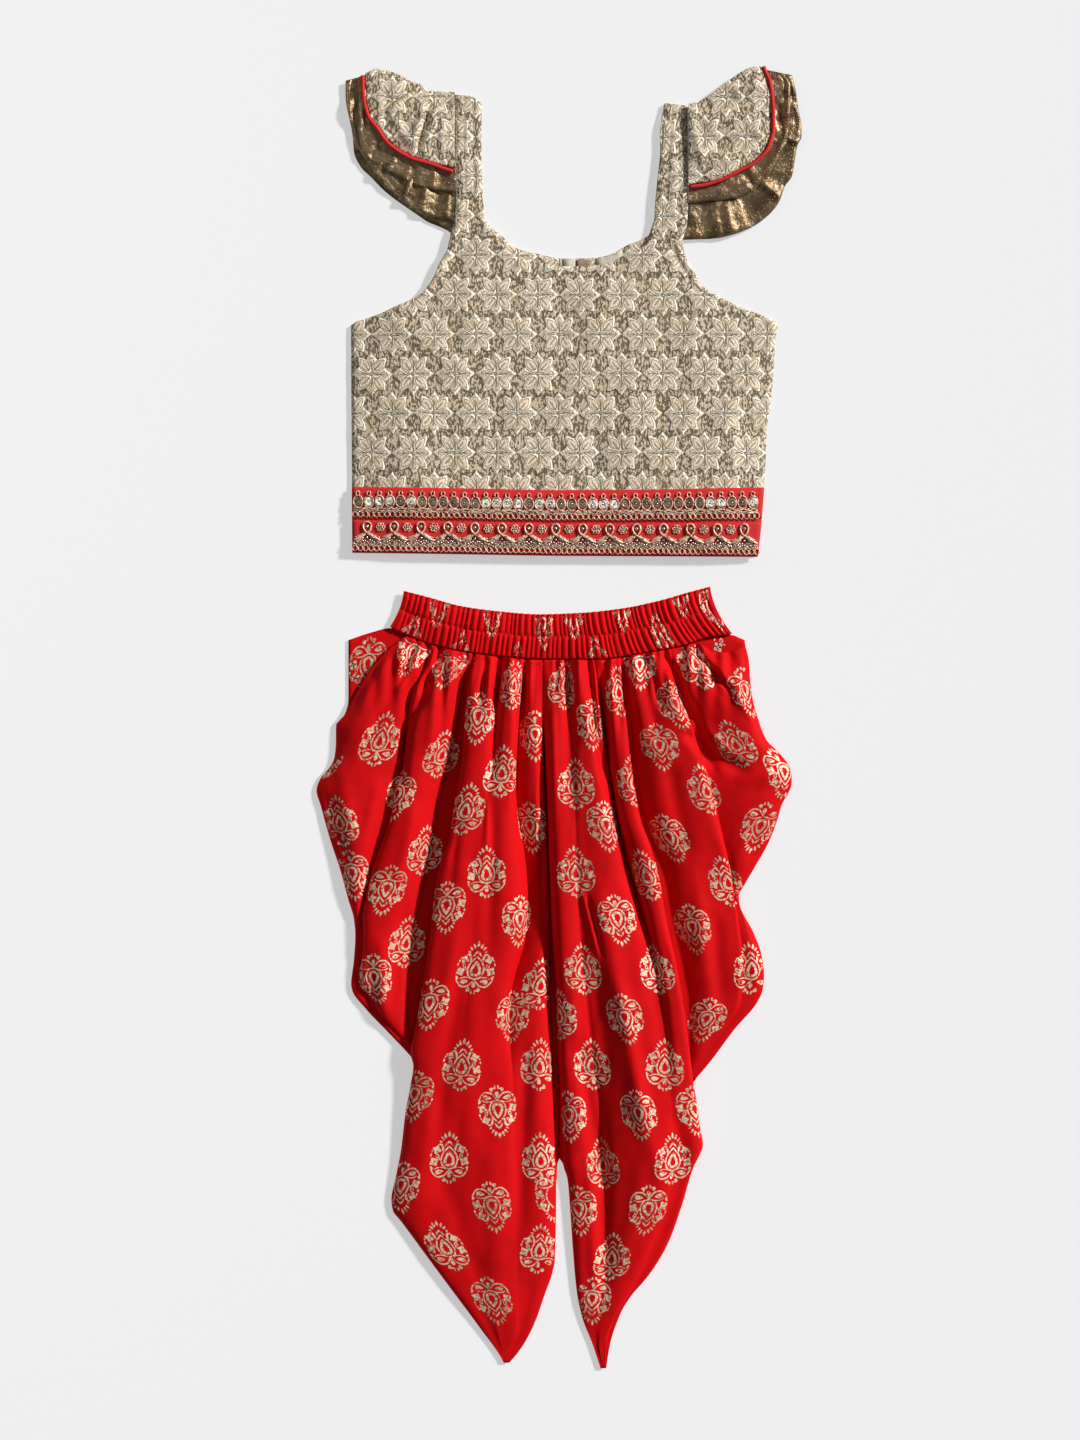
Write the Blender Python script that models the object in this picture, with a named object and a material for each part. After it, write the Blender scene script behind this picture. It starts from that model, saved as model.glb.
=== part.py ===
"""A child's dhoti pants set laid flat: a brocade crop top with tiered sleeves, and gathered dhoti pants.

Millimetres in the tables, x to the photo's right, y towards the neck, z up from the surface it lies on.
A table's row is one point of a fold or an edge, read from the photo and held as real sizes.
"""

import math

import bmesh
import bpy
import numpy as np
from mathutils import Vector
from mathutils.bvhtree import BVHTree

MM = 0.001
GAP = 0.35  # between layers that lie on each other
SEAM_GAP = 0.8  # below the waistband's lower edge, where the panels are sewn on
CLOTH = 1.2  # wall of the printed cloth and the brocade
BACK = 1.4  # wall of the flat panels underneath
STRIP = 1.0  # wall of the hem band and of each trim
BAND = 1.7  # wall of the elastic waistband, casing and elastic together

PRINT_RED = "printed_red_cloth"
BROCADE = "gold_brocade"
BRONZE = "bronze_tissue"
PLAIN_RED = "red_cloth"
TRIM = "embroidered_trim"
FACING = "brown_facing"

# The waist seam and the free top edges beside it, x then y.
SEAM = [(-122, 65), (-114, 61), (-93, 53), (-71, 48), (-42, 44), (-14, 42), (30, 42), (58, 46),
        (87, 51), (109, 58), (125, 60)]
WAIST_TOP = [(-112, 91), (-93, 86), (-71, 80), (-42, 76), (-14, 74), (15, 75), (44, 78), (73, 84),
             (94, 90), (109, 94)]
LEFT_FLAP_TOP = [(-153, 56), (-135, 62)]
RIGHT_FLAP_TOP = [(130, 58), (135, 56)]
RIGHT_DRAPE_TOP = [(34, 42), (58, 46), (87, 51), (100, 54), (106, 51), (113, 47), (123, 48), (134, 53)]

# Each fold line is a list of x, y, z from the waist down. A low line is a valley or an edge, a high one a crest.
LEFT_OUTLINE = [
    (-153, 56), (-153, 12), (-156, 1), (-161, -6), (-161, -17), (-162, -29), (-166, -37), (-172, -44),
    (-175, -53), (-172, -64), (-165, -89), (-158, -110), (-152, -132), (-148, -146), (-147, -157),
    (-148, -175), (-150, -193), (-149, -198), (-140, -210), (-122, -229), (-107, -245), (-105, -251),
    (-107, -265), (-111, -287), (-114, -312), (-118, -333), (-121, -348), (-120, -356), (-114, -364),
    (-86, -402), (-57, -441), (-42, -462), (-40, -466),
]
RIGHT_OUTLINE = [
    (135, 56), (137, 41), (138, 27), (140, 12), (143, 1), (150, -17), (158, -25), (164, -32), (168, -40),
    (168, -48), (166, -54), (161, -63), (157, -76), (152, -89), (141, -109), (134, -121), (130, -129),
    (130, -132), (141, -157), (146, -171), (148, -186), (147, -197), (143, -206), (127, -225), (109, -249),
    (98, -264), (96, -267), (99, -276), (102, -297), (104, -309), (102, -315), (96, -326), (89, -351),
    (80, -377), (69, -397), (58, -411), (51, -418), (43, -434), (37, -452), (34, -470),
]
LEFT_INSEAM = [(-2, -323), (-2, -341), (-3, -392), (-5, -402), (-10, -416), (-17, -436), (-25, -452), (-36, -466)]
RIGHT_INSEAM = [(3, -323), (6, -333), (8, -355), (10, -384), (13, -416), (17, -434), (24, -452), (30, -470)]

LEFT_DRAPE = [
    ("low", [(-111, 58, 4), (-118, 53, 4), (-127, 45, 4), (-136, 35, 4), (-149, 12, 4), (-155, 1, 4),
             (-161, -6, 3), (-161, -17, 3), (-162, -29, 3), (-166, -37, 3), (-172, -44, 3), (-175, -53, 3),
             (-172, -64, 3), (-165, -89, 3), (-158, -110, 3), (-152, -132, 3), (-148, -146, 3),
             (-147, -157, 3), (-148, -175, 3), (-150, -193, 3), (-149, -198, 3), (-140, -210, 3),
             (-122, -229, 3), (-107, -245, 3), (-98, -256, 3)]),
    ("high", [(-104, 56, 7), (-118, 25, 10), (-134, -8, 10), (-146, -45, 9), (-148, -70, 9), (-147, -95, 9),
              (-145, -120, 8), (-145, -140, 6), (-144, -157, 4), (-145, -175, 4), (-146, -193, 4),
              (-144, -198, 4), (-136, -210, 4), (-119, -229, 4), (-104, -245, 4), (-96, -256, 3)]),
    ("low", [(-89, 52, 5), (-98, 32, 4), (-107, 12, 3), (-110, -12, 3), (-113, -38, 3), (-118, -53, 4),
             (-121, -74, 4), (-128, -92, 4), (-135, -110, 3), (-139, -128, 3), (-142, -143, 3),
             (-141, -157, 4), (-142, -175, 4), (-143, -193, 4), (-140, -198, 4), (-132, -210, 4),
             (-116, -229, 4), (-102, -245, 4), (-95, -256, 3)]),
    ("high", [(-76, 49, 9), (-88, 20, 12), (-95, -5, 13), (-100, -30, 12), (-105, -55, 12), (-112, -80, 12),
              (-118, -105, 11), (-124, -130, 11), (-129, -157, 10), (-130, -175, 10), (-129, -193, 9),
              (-127, -203, 8), (-122, -214, 7), (-113, -229, 5), (-100, -245, 4), (-94, -256, 3)]),
    ("low", [(-63, 45, 4), (-68, 25, 3), (-72, 0, 3), (-77, -27, 3), (-84, -48, 3), (-88, -62, 3),
             (-91, -83, 3), (-96, -112, 3), (-101, -134, 3), (-106, -162, 3), (-109, -190, 3),
             (-109, -214, 3), (-106, -233, 3), (-98, -247, 3), (-93, -256, 3)]),
    ("low", [(-53, 44, 3), (-53, 25, 3), (-54, 0, 3), (-55, -27, 3), (-59, -48, 3), (-62, -62, 3),
             (-66, -89, 3), (-72, -104, 3), (-77, -125, 3), (-80, -146, 3), (-85, -182, 3), (-91, -218, 3),
             (-91, -243, 3), (-88, -256, 3)]),
]
LEFT_LEG = [
    ("low", [(-60, 45, 5), (-64, 27, 5), (-66, 10, 5), (-68, -9, 5), (-69, -27, 5), (-71, -42, 5),
             (-74, -60, 5), (-78, -89, 5), (-84, -103, 5), (-89, -125, 5), (-91, -146, 5), (-96, -182, 5),
             (-102, -218, 5), (-107, -243, 5), (-105, -251, 5), (-107, -265, 4), (-111, -287, 3),
             (-114, -312, 3), (-118, -333, 3), (-121, -348, 3), (-120, -356, 3), (-114, -364, 3),
             (-86, -402, 3), (-57, -441, 3), (-42, -462, 3), (-40, -466, 3)]),
    ("high", [(-50, 44, 10), (-53, 10, 14), (-56, -27, 15), (-62, -60, 15), (-68, -89, 15), (-76, -125, 14),
              (-80, -160, 14), (-85, -200, 13), (-90, -240, 12), (-92, -275, 10), (-95, -310, 9),
              (-98, -345, 8), (-94, -364, 7), (-75, -402, 6), (-51, -441, 4), (-41, -462, 3), (-39, -466, 3)]),
    ("mid", [(-43, 43, 9), (-45, 10, 12), (-47, -27, 13), (-52, -60, 13), (-56, -89, 14), (-60, -125, 14),
             (-62, -160, 13), (-66, -200, 12), (-70, -240, 11), (-71, -275, 10), (-72, -310, 9),
             (-72, -345, 8), (-70, -364, 8), (-60, -402, 6), (-45, -441, 5), (-40, -462, 3), (-39, -466, 3)]),
    ("high", [(-35, 42, 10), (-37, 10, 14), (-39, -27, 15), (-42, -60, 15), (-43, -89, 15), (-42, -125, 15),
              (-43, -160, 14), (-50, -200, 13), (-52, -240, 11), (-51, -275, 10), (-49, -310, 10),
              (-46, -345, 9), (-44, -364, 8), (-42, -402, 7), (-38, -441, 5), (-39, -462, 3), (-38, -466, 3)]),
    ("low", [(-26, 42, 6), (-28, 12, 4), (-30, -17, 3), (-31, -45, 3), (-29, -75, 3), (-25, -96, 3),
             (-22, -132, 3), (-24, -160, 3), (-31, -182, 4), (-35, -200, 5), (-36, -220, 6), (-35, -240, 7),
             (-33, -261, 8), (-32, -300, 8), (-30, -350, 8), (-30, -402, 6), (-31, -441, 5), (-38, -462, 3),
             (-37, -466, 3)]),
    ("high", [(-19, 42, 8), (-18, 10, 9), (-17, -31, 10), (-15, -70, 9), (-13, -100, 6), (-11, -132, 5),
              (-13, -160, 7), (-14, -185, 9), (-17, -210, 9), (-19, -240, 9), (-18, -276, 9), (-16, -310, 8),
              (-15, -350, 8), (-15, -385, 7), (-19, -416, 5), (-25, -441, 4), (-36, -462, 3), (-37, -466, 3)]),
    ("low", [(-12, 42, 7), (-12, 0, 7), (-11, -31, 6), (-9, -81, 5), (-7, -132, 3), (-6, -160, 3),
             (-7, -204, 3), (-5, -240, 3), (-4, -276, 3), (-3, -310, 3), (-2, -341, 3), (-3, -392, 3),
             (-5, -402, 3), (-10, -416, 3), (-17, -436, 3), (-25, -452, 3), (-34, -464, 3), (-36, -466, 3)]),
]
RIGHT_LEG = [
    ("low", [(-11, 42, 7), (-11, 0, 7), (-10, -31, 6), (-8, -81, 5), (-6, -132, 4), (-4, -175, 4),
             (-2, -204, 3), (-1, -240, 3), (1, -276, 3), (2, -300, 3), (3, -323, 3), (6, -333, 3),
             (8, -355, 3), (10, -384, 3), (13, -416, 3), (17, -434, 3), (24, -452, 3), (30, -470, 3)]),
    ("high", [(-3, 42, 8), (-2, 0, 10), (-1, -31, 12), (1, -81, 14), (3, -132, 15), (5, -175, 14),
              (7, -204, 12), (8, -240, 10), (11, -276, 9), (13, -310, 8), (16, -341, 7), (18, -384, 6),
              (19, -416, 5), (22, -434, 4), (27, -452, 3), (31, -470, 3)]),
    ("mid", [(8, 42, 8), (10, 0, 9), (11, -31, 11), (12, -81, 12), (14, -132, 12), (17, -175, 11),
             (20, -204, 9), (24, -240, 7), (29, -276, 5), (32, -310, 5), (34, -341, 5), (34, -384, 5),
             (31, -416, 4), (29, -434, 4), (29, -452, 4), (32, -470, 3)]),
    ("high", [(17, 42, 10), (21, 0, 13), (23, -31, 14), (27, -60, 15), (31, -90, 15), (36, -132, 15),
              (42, -175, 15), (47, -204, 14), (54, -240, 13), (61, -276, 13), (66, -310, 12),
              (66, -341, 11), (57, -384, 8), (44, -416, 6), (38, -434, 5), (32, -452, 4), (32, -470, 3)]),
    ("low", [(25, 42, 5), (30, 5, 3), (34, -25, 3), (39, -60, 3), (46, -96, 3), (56, -128, 5),
             (66, -160, 8), (72, -190, 10), (76, -215, 10), (79, -245, 11), (80, -276, 11), (82, -310, 10),
             (79, -341, 9), (66, -384, 6), (50, -416, 5), (40, -434, 4), (34, -452, 4), (33, -470, 3)]),
    ("high", [(36, 42, 9), (38, 20, 12), (42, -5, 13), (47, -38, 14), (53, -74, 15), (61, -96, 15),
              (67, -120, 15), (72, -146, 15), (80, -182, 14), (85, -211, 13), (89, -247, 12),
              (91, -276, 10), (95, -310, 8), (88, -341, 7), (72, -384, 5), (53, -416, 4), (41, -434, 4),
              (35, -452, 3), (33, -470, 3)]),
    ("low", [(45, 43, 5), (45, 19, 5), (48, -2, 5), (51, -38, 5), (58, -74, 5), (66, -96, 5), (71, -117, 5),
             (76, -146, 5), (84, -182, 5), (89, -211, 5), (94, -247, 5), (97, -265, 5), (99, -276, 4),
             (102, -297, 3), (104, -309, 3), (102, -315, 3), (96, -326, 3), (89, -351, 3), (80, -377, 3),
             (69, -397, 3), (58, -411, 3), (51, -418, 3), (43, -434, 3), (37, -452, 3), (34, -470, 3)]),
]
RIGHT_DRAPE = [
    ("low", [(34, 42, 3), (34, 19, 3), (36, -2, 3), (39, -38, 3), (45, -74, 3), (53, -96, 3), (58, -117, 3),
             (63, -146, 3), (71, -182, 3), (77, -211, 3), (82, -247, 3), (88, -262, 3)]),
    ("low", [(48, 43, 4), (49, 19, 3), (52, -2, 3), (56, -38, 3), (63, -74, 3), (72, -96, 3), (78, -117, 3),
             (84, -146, 3), (91, -182, 3), (95, -211, 3), (95, -247, 3), (93, -262, 3)]),
    ("high", [(60, 46, 7), (64, 19, 9), (69, -8, 10), (76, -38, 11), (83, -70, 11), (92, -96, 10),
              (99, -117, 9), (105, -146, 9), (110, -182, 8), (112, -205, 8), (106, -230, 6), (99, -250, 4),
              (95, -262, 3)]),
    ("high", [(71, 48, 9), (78, 25, 11), (88, -4, 12), (96, -31, 12), (102, -53, 12), (109, -81, 11),
              (115, -100, 9), (122, -120, 7), (126, -146, 7), (128, -182, 8), (126, -205, 7), (115, -228, 5),
              (102, -249, 4), (95, -262, 3)]),
    ("low", [(80, 50, 6), (86, 18, 5), (97, -12, 4), (104, -33, 5), (110, -55, 6), (117, -83, 5),
             (122, -102, 4), (125, -121, 4), (129, -146, 6), (133, -182, 6), (131, -205, 5), (118, -226, 4),
             (104, -248, 4), (95, -262, 3)]),
    ("high", [(103, 53, 8), (116, 25, 10), (128, 4, 10), (139, -18, 9), (146, -40, 9), (143, -62, 9),
              (138, -83, 8), (130, -105, 7), (127, -124, 5), (134, -150, 6), (140, -182, 6), (138, -200, 5),
              (122, -224, 4), (106, -247, 4), (96, -262, 3)]),
    ("low", [(134, 53, 4), (137, 41, 3), (138, 27, 3), (140, 12, 3), (143, 1, 3), (150, -17, 3),
             (158, -25, 3), (164, -32, 3), (168, -40, 3), (168, -48, 3), (166, -54, 3), (161, -63, 3),
             (157, -76, 3), (152, -89, 3), (141, -109, 3), (134, -121, 3), (130, -129, 3), (130, -132, 3),
             (141, -157, 3), (146, -171, 3), (148, -186, 3), (147, -197, 3), (143, -206, 3), (127, -225, 3),
             (109, -249, 3), (98, -262, 3)]),
]

# The top: both outer edges from the hem up, then the strap's inner edges and the front neckline.
TOP_LEFT = [(-149, 116), (-150, 284), (-140, 287), (-129, 291), (-114, 298), (-104, 302), (-96, 309),
            (-91, 316), (-86, 328), (-81, 336), (-78, 348), (-76, 354), (-74, 369), (-74, 394), (-75, 405),
            (-75, 447)]
TOP_RIGHT = [(143, 116), (146, 142), (148, 167), (149, 185), (150, 207), (153, 228), (155, 253), (156, 271),
             (158, 284), (148, 289), (138, 293), (123, 299), (112, 305), (102, 312), (98, 320), (93, 328),
             (90, 336), (89, 343), (92, 354), (93, 372), (93, 447)]
STRAP_LEFT_IN = [(-54, 116), (-54, 361), (-55, 379), (-56, 408), (-56, 447)]
STRAP_RIGHT_IN = [(69, 116), (69, 361), (71, 387), (73, 408), (73, 423), (76, 447)]
NECK = [(-54, 361), (-50, 354), (-46, 348), (-42, 344), (-39, 339), (-32, 333), (-24, 330), (-14, 328), (1, 325),
        (15, 325), (30, 326), (40, 329), (50, 335), (58, 338), (65, 343), (67, 349), (69, 361)]
STRAP_TOPS = [(-76, 449), (-64, 448), (-56, 444), (73, 443), (93, 441)]
HEM_Y = 116
BAND_Y = 166  # the hem band's upper edge
CENTRE_BACK = 14  # where the two back halves meet
PLACKET_WIDTH = 10
TRIM_ROWS = [("trim_upper", 145, 163), ("trim_lower", 119, 142)]  # name, lower and upper y

# The sleeves lie folded at the shoulder: the fold, then each tier's lower edge, all from the outer corner in.
LEFT_FOLD = [(-139, 464), (-132, 467), (-125, 466), (-114, 462), (-107, 458), (-100, 456), (-93, 451), (-76, 450)]
LEFT_CAP = [(-140, 462), (-140, 455), (-139, 444), (-136, 433), (-130, 425), (-123, 415), (-114, 408),
            (-104, 403), (-93, 400), (-82, 396), (-76, 394)]
LEFT_INNER = [(-145, 461), (-145, 445), (-145, 430), (-142, 408), (-136, 401), (-125, 394), (-114, 389),
              (-104, 383), (-93, 380), (-82, 378), (-76, 377)]
LEFT_OUTER = [(-154, 459), (-154, 448), (-150, 426), (-148, 415), (-143, 407), (-138, 400), (-132, 390),
              (-125, 381), (-114, 372), (-96, 361), (-79, 356)]
LEFT_UNDER = [(-151, 458), (-151, 440), (-149, 423), (-148, 408), (-143, 397), (-136, 390), (-125, 379),
              (-100, 361), (-93, 356), (-86, 351), (-79, 348)]
RIGHT_FOLD = [(144, 469), (138, 468), (130, 464), (123, 459), (116, 454), (110, 449), (100, 443), (94, 441)]
RIGHT_CAP = [(146, 468), (148, 463), (150, 459), (152, 448), (153, 437), (153, 423), (151, 415), (148, 408),
             (143, 403), (138, 399), (130, 395), (116, 388), (102, 384), (94, 383)]
RIGHT_INNER = [(164, 461), (167, 455), (167, 444), (166, 430), (165, 415), (161, 405), (153, 392), (146, 384),
               (139, 379), (125, 373), (108, 371), (94, 370)]
RIGHT_OUTER = [(168, 463), (171, 451), (173, 437), (175, 426), (175, 419), (172, 412), (170, 401), (168, 390),
               (163, 383), (159, 372), (150, 361), (134, 351), (112, 345), (94, 344)]
RIGHT_UNDER = [(165, 461), (168, 451), (170, 437), (172, 426), (172, 419), (169, 410), (167, 400), (164, 390),
               (160, 382), (155, 373), (148, 364), (134, 354), (112, 348), (94, 347)]


def curve(knots, values, at):
    """A smooth line through the knots that never swings past them."""
    knots = np.asarray(knots, float)
    values = np.asarray(values, float)
    at = np.asarray(at, float)
    order = np.argsort(knots)
    knots = knots[order]
    values = values[order]
    step = np.diff(knots)
    rise = np.diff(values) / step
    slope = np.zeros(len(knots))
    same = rise[:-1] * rise[1:] > 0
    inner = np.zeros(len(rise) - 1)
    weight_a = 2 * step[1:] + step[:-1]
    weight_b = step[1:] + 2 * step[:-1]
    inner[same] = (weight_a + weight_b)[same] / (weight_a[same] / rise[:-1][same] + weight_b[same] / rise[1:][same])
    slope[1:-1] = inner
    slope[0] = rise[0]
    slope[-1] = rise[-1]
    at = np.clip(at, knots[0], knots[-1])
    cell = np.clip(np.searchsorted(knots, at, side="right") - 1, 0, len(step) - 1)
    s = (at - knots[cell]) / step[cell]
    h = step[cell]
    return (
        (1 + 2 * s) * (1 - s) ** 2 * values[cell]
        + s * (1 - s) ** 2 * h * slope[cell]
        + s**2 * (3 - 2 * s) * values[cell + 1]
        + s**2 * (s - 1) * h * slope[cell + 1]
    )


def smooth(s):
    s = np.clip(s, 0, 1)
    return s * s * (3 - 2 * s)


def wobble(n, k):
    """A repeatable uneven number from -1 to 1 for the n-th fold."""
    return math.sin(12.9898 * n + 4.137 * k) * math.cos(7.233 * n - 1.7 * k)


class Cover:
    """The highest of the pieces laid so far, felt from above."""

    def __init__(self, names):
        self.trees = []
        for name in names:
            mesh = bpy.data.objects[name].data
            points = [Vector(v.co) for v in mesh.vertices]
            faces = [tuple(p.vertices) for p in mesh.polygons]
            self.trees.append(BVHTree.FromPolygons(points, faces))

    def height(self, x, y, reach):
        found = 0.0
        for dx, dy in ((0, 0), (reach, 0), (-reach, 0), (0, reach), (0, -reach)):
            for tree in self.trees:
                place = tree.ray_cast(Vector(((x + dx) * MM, (y + dy) * MM, 1.0)), Vector((0, 0, -1)))[0]
                if place is not None:
                    found = max(found, place.z / MM)
        return found


def slab(name, material, top, bottom, kept=None):
    """A closed piece of cloth from a grid of upper points and the lower height of each."""
    rows, columns = top.shape[:2]
    lower = top.copy()
    lower[:, :, 2] = bottom
    points = np.concatenate([top.reshape(-1, 3), lower.reshape(-1, 3)])
    half = rows * columns
    faces = []
    for i in range(rows - 1):
        for j in range(columns - 1):
            if kept is not None and not kept[i, j]:
                continue
            a = i * columns + j
            b = a + 1
            c = a + columns
            d = c + 1
            if np.linalg.norm(points[a] - points[d]) <= np.linalg.norm(points[b] - points[c]):
                faces += [(a, d, b), (a, c, d)]
            else:
                faces += [(a, c, b), (b, c, d)]
    edges = set()
    for f in faces:
        for k in range(3):
            edges.add((f[k], f[(k + 1) % 3]))
    sides = []
    for a, b in edges:
        if (b, a) not in edges:
            sides += [(b, a, a + half), (b, a + half, b + half)]
    under = [(f[2] + half, f[1] + half, f[0] + half) for f in faces]
    return solid(name, material, points * MM, faces + sides + under)


def solid(name, material, points, faces):
    """A mesh object whose faces look outwards."""
    points = np.asarray(points, float)
    volume = 0.0
    for f in faces:
        for k in range(1, len(f) - 1):
            volume += np.dot(points[f[0]], np.cross(points[f[k]], points[f[k + 1]]))
    if volume < 0:
        faces = [f[::-1] for f in faces]
    used = sorted({i for f in faces for i in f})
    place = {old: new for new, old in enumerate(used)}
    mesh = bpy.data.meshes.new(name)
    mesh.from_pydata([tuple(points[i]) for i in used], [], [tuple(place[i] for i in f) for f in faces])
    mesh.materials.append(bpy.data.materials[material])
    mesh.validate()
    made = bpy.data.objects.new(name, mesh)
    bpy.context.scene.collection.objects.link(made)
    return made


def lay(name, material, top, wall, below, reach=3.0, kept=None, lift=True):
    """Cloth of an even wall whose underside stays clear of what it lies on."""
    across = np.gradient(top, axis=1)
    down = np.gradient(top, axis=0)
    facing = np.cross(across, down)
    upright = np.abs(facing[:, :, 2]) / np.maximum(np.linalg.norm(facing, axis=2), 1e-9)
    bottom = top[:, :, 2] - wall / np.maximum(upright, 0.36)
    if below:
        cover = Cover(below)
        for i in range(top.shape[0]):
            for j in range(top.shape[1]):
                rest = cover.height(top[i, j, 0], top[i, j, 1], reach) + GAP
                bottom[i, j] = max(bottom[i, j], rest)
    top = top.copy()
    if lift:
        top[:, :, 2] = np.maximum(top[:, :, 2], bottom + wall)
    return slab(name, material, top, bottom, kept)


def row_heights(lines, seam, base, straight, most, least):
    """The nominal heights of the rows: each edge's own points, with long steps split."""
    ys = []
    for k in (0, -1):
        for point in lines[k][1]:
            ys.append(level(point[0], point[1], seam, base, straight))
    ys = sorted(ys, reverse=True)
    kept = [base]
    for y in ys:
        if kept[-1] - y >= least:
            kept.append(y)
    kept[-1] = ys[-1]
    rows = []
    for a, b in zip(kept[:-1], kept[1:]):
        parts = max(1, math.ceil((a - b) / most))
        rows += [a + (b - a) * k / parts for k in range(parts)]
    return np.array(rows + [kept[-1]])


def level(x, y, seam, base, straight):
    """The nominal height of a point, before the rows bend up to the seam."""
    rise = float(curve([p[0] for p in seam], [p[1] for p in seam], x)) - SEAM_GAP - base
    span = base - straight
    nominal = (y + rise * straight / span) / (1 + rise / span)
    return float(nominal) if nominal > straight else float(y)


def folded(lines, seam, base, straight, cells, most=15.0, least=5.0):
    """The upper surface of a panel with folds, as rows across it."""
    rows = row_heights(lines, seam, base, straight, most, least)
    xs, zs = [], []
    for kind, points in lines:
        nominal = [level(p[0], p[1], seam, base, straight) for p in points]
        nominal[0] = max(nominal[0], base)
        xs.append(curve(nominal, [p[0] for p in points], rows))
        zs.append(curve(nominal, [p[2] for p in points], rows))
    columns_x, columns_z = [], []
    for k in range(len(lines) - 1):
        rank = {"low": 0, "mid": 1, "high": 2}
        up = rank[lines[k + 1][0]] - rank[lines[k][0]]
        for c in range(cells[k]):
            s = c / cells[k]
            if up > 0:
                ease = math.sin(math.pi / 2 * s)
            elif up < 0:
                ease = 1 - math.cos(math.pi / 2 * s)
            else:
                ease = s
            columns_x.append(xs[k] + (xs[k + 1] - xs[k]) * s)
            columns_z.append(zs[k] + (zs[k + 1] - zs[k]) * ease)
    columns_x.append(xs[-1])
    columns_z.append(zs[-1])
    x = np.stack(columns_x, axis=1)
    z = np.stack(columns_z, axis=1)
    rise = curve([p[0] for p in seam], [p[1] for p in seam], x) - SEAM_GAP - base
    bend = np.clip((rows - straight) / (base - straight), 0, None)[:, None]
    y = rows[:, None] + rise * bend
    return np.stack([x, y, z], axis=2)


def flat_lines(left, right, inset):
    """Two edges of a flat panel, drawn in a little from the panel that lies on it."""
    return [
        ("low", [(p[0] + inset, p[1], BACK) for p in left]),
        ("low", [(p[0] - inset, p[1], BACK) for p in right]),
    ]


def torso_rows(low, high, step):
    ys = {low, high}
    for table in (TOP_LEFT, TOP_RIGHT):
        ys |= {p[1] for p in table if low < p[1] < high}
    ys = sorted(ys)
    kept = [ys[0]]
    for y in ys[1:]:
        if y - kept[-1] >= 4.5 or y in (284, 361):
            kept.append(y)
    kept[-1] = ys[-1]
    rows = []
    for a, b in zip(kept[:-1], kept[1:]):
        parts = max(1, math.ceil((b - a) / step))
        rows += [a + (b - a) * k / parts for k in range(parts)]
    return np.array(rows + [kept[-1]], float)


def torso(rows, columns, inset, neck_lift):
    """Points over the top's outline. A column is a number from 0 at the left edge to 3 at the right one."""
    def edge(table):
        return curve([p[1] for p in table], [p[0] for p in table], rows)

    left = edge(TOP_LEFT) + inset
    right = edge(TOP_RIGHT) - inset
    inner_left = edge(STRAP_LEFT_IN) - inset * 0.5
    inner_right = edge(STRAP_RIGHT_IN) + inset * 0.5
    lines = [left, inner_left, inner_right, right]
    neck_start = 361.0
    grid = np.zeros((len(rows), len(columns), 3))
    for j, c in enumerate(columns):
        k = min(int(c), 2)
        grid[:, j, 0] = lines[k] + (lines[k + 1] - lines[k]) * (c - k)
    grid[:, :, 1] = rows[:, None]
    neck = curve([p[0] for p in NECK], [p[1] for p in NECK], grid[:, :, 0])
    neck = neck + neck_lift * smooth((neck_start - neck) / 25)
    bend = smooth((rows - 235) / (neck_start - 235))[:, None]
    middle = (np.asarray(columns)[None, :] > 1) & (np.asarray(columns)[None, :] < 2)
    grid[:, :, 1] += np.where(middle, (neck - neck_start) * bend, 0)
    tops = curve([p[0] for p in STRAP_TOPS], [p[1] for p in STRAP_TOPS], grid[:, :, 0])
    share = smooth((rows - 410) / 37)[:, None]
    grid[:, :, 1] += np.where(middle, 0, (tops - 447) * share)
    return grid


def torso_kept(rows, columns):
    middle = (0.5 * (rows[:-1] + rows[1:]))[:, None] > 361
    centre = 0.5 * (np.asarray(columns)[:-1] + np.asarray(columns)[1:])[None, :]
    return ~(middle & (centre > 1) & (centre < 2))


def front_height(x, y):
    """How high the laid front stands: down on the back at its side seams and shoulders, a little air between."""
    side = smooth((x + 150) / 45) * smooth((158 - x) / 45) * smooth((452 - y) / 60)
    body = smooth((y - 105) / 60) * smooth((375 - y) / 90)
    soft = 0.5 * np.sin(x / 31 + y / 90) * np.sin(y / 43 + 0.6) + 0.35 * np.sin(x / 17 - y / 37)
    return 3.05 + side * (1.7 + 1.5 * body + 0.7 * soft * body)


def strip(name, material, low, high, rise, columns, wall):
    """A band or a trim that follows the front, raised by what lies under it."""
    rows = np.linspace(low, high, max(2, round((high - low) / 16) + 1))
    grid = torso(rows, columns, 0.0, 0.0)
    grid[:, :, 2] = front_height(grid[:, :, 0], grid[:, :, 1]) + rise
    return slab(name, material, grid, grid[:, :, 2] - wall)


def along(table, count):
    """Evenly spaced points on a line through the table's points."""
    points = np.array(table, float)
    run = np.concatenate([[0], np.cumsum(np.linalg.norm(np.diff(points, axis=0), axis=1))])
    at = np.linspace(0, run[-1], count)
    return np.stack([curve(run, points[:, 0], at), curve(run, points[:, 1], at)], axis=1)


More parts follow.
